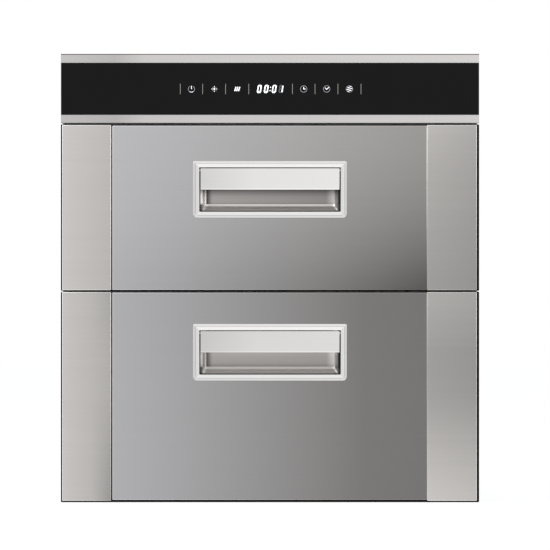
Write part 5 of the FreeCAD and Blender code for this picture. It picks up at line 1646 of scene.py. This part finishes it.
@dataclass
class RunnerSet:
    """Telescopic runners of one drawer, left and right, with balls and the drawer's arms."""

    name: str
    foot: float
    height: float = 45.0
    near: float = 32.0
    far: float = 382.0
    sheet: float = 1.2
    arm_x: float = 237.3
    arm_near: float = 24.0
    arm_far: float = 374.0
    arm_sheet: float = 1.5
    rivet_depths: Tuple[float, ...] = (70.0, 205.0, 340.0)

    @property
    def middle(self) -> float:
        """Height of the runners' middle line."""
        return self.foot + self.height / 2

    def build(self) -> None:
        """Builds the members, the balls and the arms."""
        self.member("fixed", "cabinet", 250.0, 239.0, 45.0)
        self.member("middle", self.name + "_runner_slider", 247.8, 238.6, 36.6)
        self.member("moving", self.name + "_drawer", 237.3, 245.5, 28.2)
        self.balls()
        self.arms()

    def member(self, kind: str, body: str, web: float, tip: float, height: float) -> None:
        """Rolled C of one member, with the curved races of its flanges.

        Args:
            kind: fixed, middle or moving.
            body: the body that it rides on.
            web: distance of the web's outer face from the middle plane.
            tip: distance of the flanges' edges from the middle plane.
            height: outer height.
        """
        piece = Workpiece(self.name + "_rail_" + kind)
        half = height / 2
        inward = 1.0 if tip > web else -1.0
        dip, rivets = 0.35, {"fixed": (0.7, 3.4, 4.0), "moving": (0.9, 2.8, 3.4)}
        for side in Side:
            sx = side.value
            points = []
            for sign in (-1.0, 1.0):
                row = [(tip, half), (tip - inward * 1.6, half - dip),
                       (web + inward * 3.0, half - dip), (web + inward * 1.4, half),
                       (web, half - 1.4)]
                if sign > 0:
                    row.reverse()
                points += [at(sx * x, self.near, self.middle + sign * z) for x, z in row]
            piece.rolled(
                points, (0.0, self.far - self.near, 0.0), self.sheet, 0.5, 2, towards=DOWN)
            if kind not in rivets:
                continue
            rise, head, neck = rivets[kind]
            seat = web + inward * self.sheet
            for depth in self.rivet_depths:
                piece.bar(at(sx * (seat + inward * rise), depth, self.middle),
                          at(sx * seat, depth, self.middle), head, 14, neck)
        piece.finish(FINISH.runner, body, self.name + "_runner_" + kind, slot="runner_zinc",
                     crease=40.0, outward=False)

    def balls(self) -> None:
        """Rows of balls in their thin cages."""
        balls, cages = Workpiece(self.name + "_balls"), Workpiece(self.name + "_ball_cages")
        rows = ((19.8, 258.0, 243.4), (15.6, 46.0, 242.05))
        for side in Side:
            for rise, start, x in rows:
                for sign in (-1.0, 1.0):
                    z = self.middle + sign * rise
                    x0, x1 = sorted((side.value * (x - 1.5), side.value * (x + 1.5)))
                    cages.block(
                        at(x0, start, z - 0.45), at(x1, start + 110.0, z + 0.45), 0.2, 1)
                    for depth in spread(start + 3.0, start + 107.0, 22):
                        bmesh.ops.create_uvsphere(
                            balls.bm, u_segments=8, v_segments=5, radius=1.38,
                            matrix=Matrix.Translation(at(side.value * x, depth, z)))
        body = self.name + "_runner_slider"
        balls.finish(FINISH.pin, body, slot="runner_zinc", crease=60.0)
        cages.finish(FINISH.cage, body, slot="runner_zinc", crease=60.0)

    def arms(self) -> None:
        """Folded arms with their ledge and front foot, and the bar that joins them behind."""
        piece = Workpiece(self.name + "_folded_arms")
        foot, top, low = self.foot, self.foot + self.height, self.foot + self.arm_sheet
        near, far, wide, sheet = self.arm_near, self.arm_far, self.arm_x, self.arm_sheet
        for side in Side:
            sx = side.value
            piece.rolled([at(sx * x, near, z) for x, z in (
                (wide - 16.0, foot), (wide, foot), (wide, top), (wide - 2.7, top))],
                (0.0, far - near, 0.0), sheet, 1.8, 4, towards=DOWN)
            piece.rolled([at(sx * x, depth, low) for x, depth in (
                (wide - 22.0, near), (wide, near), (wide, near + 9.0))],
                (0.0, 0.0, self.height - 3.2), sheet, 1.6, 4, towards=FRONT)
            for z in (foot + 11.0, foot + 34.0):
                piece.bar(at(sx * 226.5, near + sheet, z), at(sx * 226.5, near + 3.1, z),
                          3.6, 16, 2.6)
        half = wide - sheet
        piece.rolled([at(-half, depth, z) for depth, z in (
            (far - 6.0, low), (far, low), (far, low + 30.0), (far - 6.0, low + 30.0))],
            (2 * half, 0.0, 0.0), sheet, 1.8, 4, towards=DOWN)
        piece.finish(FINISH.runner, self.name + "_drawer", self.name + "_drawer_arms",
                     slot="runner_zinc", crease=40.0, outward=False)


@dataclass
class FlapSpring:
    """Torsion spring of a flap, coiled round its pin, with its two legs."""

    name: str
    height: float
    turns: int = 3
    pitch: float = 0.9
    radius: float = 1.95
    wire: float = 0.3
    steps: int = 20
    leg: float = 12.0
    heel: float = 7.0
    pin_depth: float = 3.15

    def build(self) -> None:
        """Builds the spring from its leg on the flap to its heel on the housing."""
        coil = Workpiece(self.name + "_spring_coil")
        start = -self.pitch * self.turns / 2
        points = [at(start, self.pin_depth - self.radius, self.height - self.leg)]
        for index in range(self.turns * self.steps + self.steps // 4 + 1):
            turn = math.tau * index / self.steps
            points.append((start + self.pitch * index / self.steps,
                           y_at(self.pin_depth - self.radius * math.cos(turn)),
                           self.height + self.radius * math.sin(turn)))
        last = points[-1]
        points.append((last[0], last[1] + self.heel, last[2]))
        self.follow(coil, points, self.wire)
        coil.finish(FINISH.pin, self.name + "_drawer", self.name + "_handle_spring",
                    slot="pin_steel", crease=70.0)

    def follow(self, piece: Workpiece, points: Sequence[Point], radius: float) -> None:
        """Sweeps a thin round wire along close points.

        Args:
            piece: the workpiece.
            points: places along the wire.
            radius: the wire's radius.
        """
        rings = []
        for index, point in enumerate(points):
            one = Vector(points[max(index - 1, 0)])
            two = Vector(points[min(index + 1, len(points) - 1)])
            turn = (two - one).to_track_quat("Z", "X").to_matrix().to_4x4()
            ring = bmesh.ops.create_circle(piece.bm, segments=6, radius=radius,
                                           matrix=Matrix.Translation(Vector(point)) @ turn)
            rings.append(unique(edge for vert in ring["verts"] for edge in vert.link_edges))
        for one, two in zip(rings, rings[1:]):
            bmesh.ops.bridge_loops(piece.bm, edges=one + two)


# ---- casing and its fittings
@dataclass
class Casing:
    """Fine forms of what is outside the casing: feet, screws and the cord bush."""

    body: str = "cabinet"
    rear: float = 430.2
    half: float = 275.0
    foot: float = 18.0
    top: float = 618.0
    front: float = 29.2
    foot_x: float = 230.0
    foot_depths: Pair = (69.2, 389.2)
    screw_x: float = 268.5
    screw_heights: Pair = (59.0, 578.0)
    bush_x: float = -215.0
    bush_height: float = 70.0

    def build(self) -> None:
        """Builds the feet, the screws, the bush and the pressed beads."""
        self.feet()
        self.screws()
        self.gland()
        self.beads()
        self.side_screws()

    def side(self, kind: str) -> Matrix:
        """Matrix from a sheet drawn face on, with its outer face at Y 0, to one side.

        Args:
            kind: left, right, rear or top.

        Returns:
            The matrix.
        """
        if kind == "top":
            return Matrix.Translation((0.0, 0.0, self.top)) @ Matrix.Rotation(
                -math.pi / 2, 4, "X")
        turn, move = {"right": (math.pi / 2, (self.half, 0.0, 0.0)),
                      "left": (-math.pi / 2, (-self.half, 0.0, 0.0)),
                      "rear": (math.pi, at(0.0, self.rear, 0.0))}[kind]
        return Matrix.Translation(move) @ Matrix.Rotation(turn, 4, "Z")

    def beads(self) -> None:
        """Raised beads that stiffen the sheets: one closed ring and two bars to a side."""
        piece = Workpiece("casing_beads")
        y0, y1 = y_at(self.front), y_at(self.rear)
        middle, bar, width = (self.foot + self.top) / 2, 8.0, 16.0
        for kind, sign in (("left", -1.0), ("right", 1.0)):
            low, high = sorted((sign * y0, sign * y1))
            self.bead(
                piece, kind, (low + 38.0, high - 38.0, self.foot + 40.0, self.top - 40.0))
            for foot in (middle - 96.0, middle + 80.0):
                self.bead(piece, kind, (low + 70.0, high - 70.0, foot, foot + width), bar)
        half, foot, top = self.half, self.foot, self.top
        self.bead(piece, "rear", (-half + 40.0, half - 40.0, foot + 92.0, top - 22.0))
        for x in (-150.0, 134.0):
            self.bead(piece, "rear", (x, x + width, foot + 130.0, top - 60.0), bar)
        self.bead(piece, "top", (-half + 36.0, half - 36.0, y0 + 36.0, y1 - 36.0))
        piece.finish(FINISH.zinc, self.body, slot="zinc_steel", crease=50.0, flat=1000.0)

    def bead(self, piece: Workpiece, kind: str, box: Box, bar: float = 0.0) -> None:
        """Adds one bead, drawn face on.

        Args:
            piece: the workpiece.
            kind: side of the casing.
            box: left, right, foot and top.
            bar: half width, for a closed bar rather than a ring.
        """
        x0, x1, z0, z1 = box
        old = set(piece.bm.verts)
        rows = ((0.0, 0.0), (0.4, -0.2), (1.1, -0.8), (2.0, -0.92))
        if not bar:
            rows += ((6.0, -0.95),) + tuple(
                (12.0 - inset, rise) for inset, rise in reversed(rows))
        loops = []
        for inset, rise in rows:
            radius = max((bar or 26.0) - inset, 1.0) * 0.98
            loops.append(piece.frame_loop((x0 + inset, x1 - inset, z0 + inset, z1 - inset),
                                          rise - FACE_Y + 0.02, radius, radius, steps=5))
        piece.lofted(loops)
        if bar:
            piece.disc(loops[-1])
        piece.place(self.side(kind), old)

    def side_screws(self) -> None:
        """Domed screws along the edges of both sides."""
        piece = Workpiece("side_screws")
        y0, y1 = y_at(self.front), y_at(self.rear)
        for side in Side:
            for z in (self.foot + 8.0, self.top - 8.0):
                for y in spread(y0 + 24.0, y1 - 24.0, 3):
                    centre = (side.value * self.half, y, z)
                    piece.turned(((0.0, 0.0), (0.0, 3.8), (0.5, 3.7), (1.1, 3.0), (1.5, 1.9),
                                  (1.6, 0.0)), centre, (side.value, 0.0, 0.0), 20)
        piece.finish(FINISH.pin, self.body, slot="pin_steel", crease=50.0)

    def feet(self) -> None:
        """Levelling feet: a turned rubber pad under a threaded stud with its nut."""
        pads, nuts = Workpiece("levelling_pads"), Workpiece("levelling_nuts")
        pad = ((0.0, 0.0), (0.0, 12.4), (0.8, 13.6), (3.6, 13.6), (4.8, 12.8), (7.0, 10.2),
               (8.2, 9.4), (9.6, 9.2), (9.6, 0.0))
        stud = ((9.6, 0.0), (9.6, 5.2), (10.2, 4.7), (10.8, 5.2), (11.4, 4.7), (12.0, 5.2),
                (12.6, 4.7), (18.0, 4.7))
        for x in (-self.foot_x, self.foot_x):
            for depth in self.foot_depths:
                centre = at(x, depth, 0.0)
                pads.turned(pad, centre, UP, 28)
                nuts.turned(stud, centre, UP, 16)
                nuts.bar(at(x, depth, 12.6), at(x, depth, 13.2), 8.6, 6, 9.8)
                nuts.bar(at(x, depth, 13.2), at(x, depth, 18.0), 9.8, 6)
        pads.finish(FINISH.rubber, self.body, "feet", slot="rubber_black", crease=35.0)
        nuts.finish(FINISH.zinc, self.body, slot="zinc_steel", crease=35.0)

    def screws(self) -> None:
        """Flanged hexagon heads."""
        piece = Workpiece("rear_screws")
        for x in (-self.screw_x, self.screw_x):
            for z in self.screw_heights:
                piece.turned(((0.0, 0.0), (0.0, 4.0), (0.35, 4.0), (0.6, 3.5), (0.6, 0.0)),
                             at(x, self.rear, z), BACK, 24)
                for rise, end, width in ((0.5, 2.0, 3.5), (2.0, 2.35, 2.7)):
                    piece.bar(at(x, self.rear + rise, z), at(x, self.rear + end, z),
                              3.5 if rise < 1.0 else 3.4, 6, width)
        piece.finish(FINISH.pin, self.body, "case_screws", slot="pin_steel", crease=30.0)

    def gland(self) -> None:
        """Cord bush: hexagon flange, ribbed sleeve and a rounded mouth."""
        piece = Workpiece("cord_bush")
        profile = ((-14.0, 4.2), (-14.0, 7.4), (-1.0, 7.4), (0.0, 8.0), (0.0, 9.6),
                   (0.3, 10.2), (1.6, 10.2), (2.0, 9.4), (2.6, 9.4), (2.9, 8.6), (3.5, 8.6),
                   (3.8, 7.6), (4.0, 6.6), (3.9, 5.2), (3.2, 4.2), (-14.0, 4.2))
        piece.turned(profile, at(self.bush_x, self.rear, self.bush_height), BACK, 32)
        piece.finish(
            FINISH.black_plastic, self.body, "cord_gland", slot="plastic_black", crease=35.0)


@dataclass
class Chambers:
    """Fine forms of what the chambers hold: lamp, heating tubes and their guard."""

    body: str = "cabinet"
    lamp_depth: float = 373.2
    lamp_height: float = 496.8
    tube_depths: Pair = (169.2, 294.2)
    tube_height: float = 61.6

    def build(self) -> None:
        """Builds the lamp, the heating tubes and the guard."""
        self.lamp()
        self.tubes()
        self.guard()

    def lamp(self) -> None:
        """Ultraviolet tube with aluminium end caps and their pins."""
        glass, caps = Workpiece("uv_lamp_glass"), Workpiece("uv_lamp_caps")
        depth, z, reach = self.lamp_depth, self.lamp_height, 106.0
        glass.turned(((-96.0, 0.0), (-96.0, 6.0), (-94.0, 7.4), (94.0, 7.4), (96.0, 6.0),
                      (96.0, 0.0)), at(0.0, depth, z), RIGHT, 24)
        for side in Side:
            sx = side.value
            caps.turned(((93.0, 7.45), (93.4, 7.8), (103.4, 7.8), (104.4, 6.8), (104.4, 0.0)),
                        at(0.0, depth, z), (sx, 0.0, 0.0), 24)
            for lift in (-3.2, 3.2):
                caps.bar(
                    at(sx * 104.2, depth, z + lift), at(sx * reach, depth, z + lift), 1.1, 10)
        glass.finish(FINISH.lamp_glass, self.body, "uv_lamp", slot="lamp_glass", crease=35.0)
        caps.finish(FINISH.pin, self.body, slot="lamp_glass", crease=35.0)

    def tubes(self) -> None:
        """Milky quartz tubes with crimped steel ends."""
        glass, ends = Workpiece("quartz_glass"), Workpiece("quartz_ends")
        for depth in self.tube_depths:
            centre = at(0.0, depth, self.tube_height)
            glass.turned(
                ((-232.0, 0.0), (-232.0, 5.3), (232.0, 5.3), (232.0, 0.0)), centre, RIGHT, 20)
            for side in Side:
                ends.turned(((228.0, 5.35), (228.3, 5.5), (240.6, 5.5), (242.0, 4.4),
                             (242.0, 0.0)), centre, (side.value, 0.0, 0.0), 20)
        glass.finish(
            FINISH.quartz, self.body, "quartz_tubes", slot="quartz_white", crease=35.0)
        ends.finish(FINISH.ceramic, self.body, slot="quartz_white", crease=35.0)

    def guard(self) -> None:
        """Wire guard over the heating tubes, on four legs."""
        piece = Workpiece("tube_guard_wires")
        x, near, far, z, floor, radius = 220.0, 129.2, 334.2, 73.6, 45.6, 1.6
        for depth in (near, far):
            piece.wire([at(-x, depth, z), at(x, depth, z)], radius)
            for side in Side:
                leg = side.value * (x - 12.8)
                piece.wire([at(leg, depth, floor), at(leg, depth, z)], radius)
        for place in spread(-x + 3.2, x - 3.2, 7):
            piece.wire([at(place, near - 3.2, z + 2.7), at(place, far + 3.2, z + 2.7)], radius)
        piece.finish(FINISH.wire, self.body, "tube_guard", slot="basket_steel", crease=70.0)


# ---- nodes kept as they are
KEPT: Dict[str, str] = {
    "upper_handle_pin": "pin", "lower_handle_pin": "pin", "lower_wool": "wool",
    "board_tray": "zinc", "display_board": "board", "led_display": "display",
    "power_board": "board", "blower_wheel": "black_plastic", "drying_heater": "handle",
}


SOFTENED: Dict[str, Tuple[str, str, float]] = {
    "side_panels": ("zinc", "zinc_steel", 0.4), "top_cover": ("zinc", "zinc_steel", 0.4),
    "rear_panel": ("zinc", "zinc_steel", 0.4), "base_plate": ("zinc", "zinc_steel", 0.4),
    "front_frame": ("frame_steel", "steel_inner", 0.3),
    "upper_liner": ("chamber_steel", "steel_inner", 0.3),
    "lower_liner": ("chamber_steel", "steel_inner", 0.3),
    "lamp_holders": ("white_plastic", "plastic_white", 0.8),
    "tube_holders": ("ceramic", "ceramic_white", 0.8),
    "blower_motor": ("black_plastic", "plastic_black", 1.0),
    "blower_housing": ("zinc", "zinc_steel", 0.5),
    "door_switches": ("black_plastic", "plastic_black", 0.8),
    "thermostat": ("white_plastic", "plastic_white", 0.3),
    "ozone_generator": ("black_plastic", "plastic_black", 0.8),
    "control_housing": ("black_plastic", "plastic_black", 0.6),
}


def soften_nodes(nodes: Dict[str, bpy.types.Object]) -> None:
    """Builds a soft-edged piece for each plainly folded or moulded CAD node.

    Args:
        nodes: the frame's node objects by name.
    """
    for name, (finish, slot, radius) in SOFTENED.items():
        piece = Workpiece(name + "_soft")
        piece.adopt(nodes[name], radius)
        piece.finish(
            getattr(FINISH, finish), "cabinet", name, slot=slot, crease=38.0, flat=60.0)


def dress_nodes(nodes: Dict[str, bpy.types.Object]) -> None:
    """Gives each CAD node that stays its finish.

    Args:
        nodes: the frame's node objects by name.
    """
    for name, finish in KEPT.items():
        node = nodes[name]
        material = getattr(FINISH, finish).material()
        for slot in node.material_slots:
            slot.material = material
        if not node.material_slots:
            node.data.materials.append(material)
        LOG.info("%s: kept in %s", name, material.name)


# ---- stage, light and camera
@dataclass
class Studio:
    """Pale floor, soft lights and the long-lens camera straight in front."""

    distance: float = 6.0
    frame_width: float = 0.7823
    camera_x: float = 0.0071
    camera_z: float = 0.3235
    clear: float = 0.0002

    def build(self) -> None:
        """Builds the floor, the world, the lamps and the camera."""
        self.floor()
        self.world()
        self.lamps()
        self.camera()

    def floor(self) -> None:
        """Large pale floor that keeps a faint shadow and shows white to the camera."""
        bm = bmesh.new()
        bmesh.ops.create_grid(bm, x_segments=1, y_segments=1, size=9.0,
                              matrix=Matrix.Translation((0.0, 0.0, -self.clear)))
        mesh = bpy.data.meshes.new("studio_floor")
        bm.to_mesh(mesh)
        bm.free()
        floor = bpy.data.objects.new("studio_floor", mesh)
        bpy.context.scene.collection.objects.link(floor)
        material = bpy.data.materials.new("Studio floor")
        material.use_nodes = True
        material.node_tree.nodes.clear()
        board = Board(material.node_tree)
        matt, shaded = (
            board.node("ShaderNodeBsdfDiffuse", {"Color": (grey, grey, grey, 1.0)})
            for grey in (0.86, 0.20))
        glow = board.node("ShaderNodeEmission", {"Strength": 0.875})
        seen = board.node("ShaderNodeAddShader", {0: shaded.outputs[0], 1: glow.outputs[0]})
        path = board.node("ShaderNodeLightPath").outputs
        mix = board.node("ShaderNodeMixShader", {
            0: board.maths("MAXIMUM", path["Is Camera Ray"], path["Is Glossy Ray"]),
            1: matt.outputs[0], 2: seen.outputs[0]})
        board.node("ShaderNodeOutputMaterial", {0: mix.outputs[0]})
        mesh.materials.append(material)
        floor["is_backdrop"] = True

    def world(self) -> None:
        """White to the camera, metal and glass; a softer grey as light."""
        world = bpy.data.worlds.new("Studio world")
        world.use_nodes = True
        world.node_tree.nodes.clear()
        board = Board(world.node_tree)
        light, white = (
            board.node("ShaderNodeBackground", {"Color": colour, "Strength": strength})
            for colour, strength in (((0.95, 0.97, 1.0, 1.0), 0.62),
                                     ((1.0, 1.0, 1.0, 1.0), 1.0)))
        path = board.node("ShaderNodeLightPath").outputs
        seen = board.maths("MAXIMUM", path["Is Camera Ray"],
                           board.maths("MAXIMUM", path["Is Glossy Ray"],
                                       path["Is Transmission Ray"]))
        mix = board.node("ShaderNodeMixShader", {
            0: seen, 1: light.outputs[0], 2: white.outputs[0]})
        board.node("ShaderNodeOutputWorld", {0: mix.outputs[0]})
        bpy.context.scene.world = world

    def lamp(self, name: str, place: Point, size: float, watts: float) -> None:
        """Adds one square soft light that looks at the middle of the cabinet.

        Args:
            name: the lamp's name.
            place: where it hangs.
            size: length of its side.
            watts: its power.
        """
        data = bpy.data.lights.new(name, "AREA")
        data.shape = "SQUARE"
        data.size = size
        data.energy = watts
        made = bpy.data.objects.new(name, data)
        made.location = place
        aim = Vector((0.0, 0.0, 0.32)) - Vector(place)
        made.rotation_euler = aim.to_track_quat("-Z", "Y").to_euler()
        bpy.context.scene.collection.objects.link(made)

    def lamps(self) -> None:
        """Key light from the upper left, a weak fill and a top light."""
        self.lamp("Key light", (-2.6, -1.9, 2.7), 1.5, 42.0)
        self.lamp("Fill light", (2.4, -2.2, 1.0), 1.6, 12.0)
        self.lamp("Top light", (0.3, 1.4, 2.8), 1.8, 10.0)

    def camera(self) -> None:
        """Camera level with the middle of the fronts, without shift or blur."""
        data = bpy.data.cameras.new("Front camera")
        data.sensor_width = 36.0
        data.lens = 36.0 * self.distance / self.frame_width
        data.clip_end = 100.0
        camera = bpy.data.objects.new("Front camera", data)
        camera.location = (self.camera_x, FACE_Y * MM - self.distance, self.camera_z)
        camera.rotation_euler = (math.pi / 2, 0.0, 0.0)
        bpy.context.scene.collection.objects.link(camera)
        bpy.context.scene.camera = camera


def plain(bounds: Iterable) -> List[List[float]]:
    """Bounds as plain lists of numbers."""
    return [[float(part) for part in corner] for corner in bounds]


def main() -> None:
    """Builds the cabinet over its frame, piece by piece."""
    logging.basicConfig(level=logging.INFO, format="%(name)s %(message)s")
    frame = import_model()
    cad_box = plain(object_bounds())
    bpy.context.scene.view_settings.view_transform = "Standard"
    dress_nodes(frame["nodes"])
    soften_nodes(frame["nodes"])
    DrawerFront("upper", foot=301.9, top=536.9, pan_foot=301.0, pan_top=537.8,
                handle_foot=404.5, handle_top=485.5, chamber_foot=327.0, chamber_top=511.8,
                foot_inset=0.4, top_inset=0.9).build()
    DrawerFront("lower", foot=2.3, top=299.2, pan_foot=0.3, pan_top=299.8,
                handle_foot=172.9, handle_top=253.9, chamber_foot=45.6, chamber_top=273.8,
                foot_inset=1.2, top_inset=0.6).build()
    ControlPanel().build()
    for name, foot, top in (("upper", 342.5, 437.5), ("lower", 83.1, 188.1)):
        WireBasket(name, foot, top).build()
    PlateRack().build()
    for name, foot in (("upper", 341.0), ("lower", 81.6)):
        RunnerSet(name, foot).build()
    for name, height in (("upper", 472.5), ("lower", 240.9)):
        FlapSpring(name, height).build()
    Casing().build()
    Chambers().build()
    Studio().build()
    {"cad": cad_box, "visual": plain(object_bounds())}


if __name__ == "__main__":
    main()
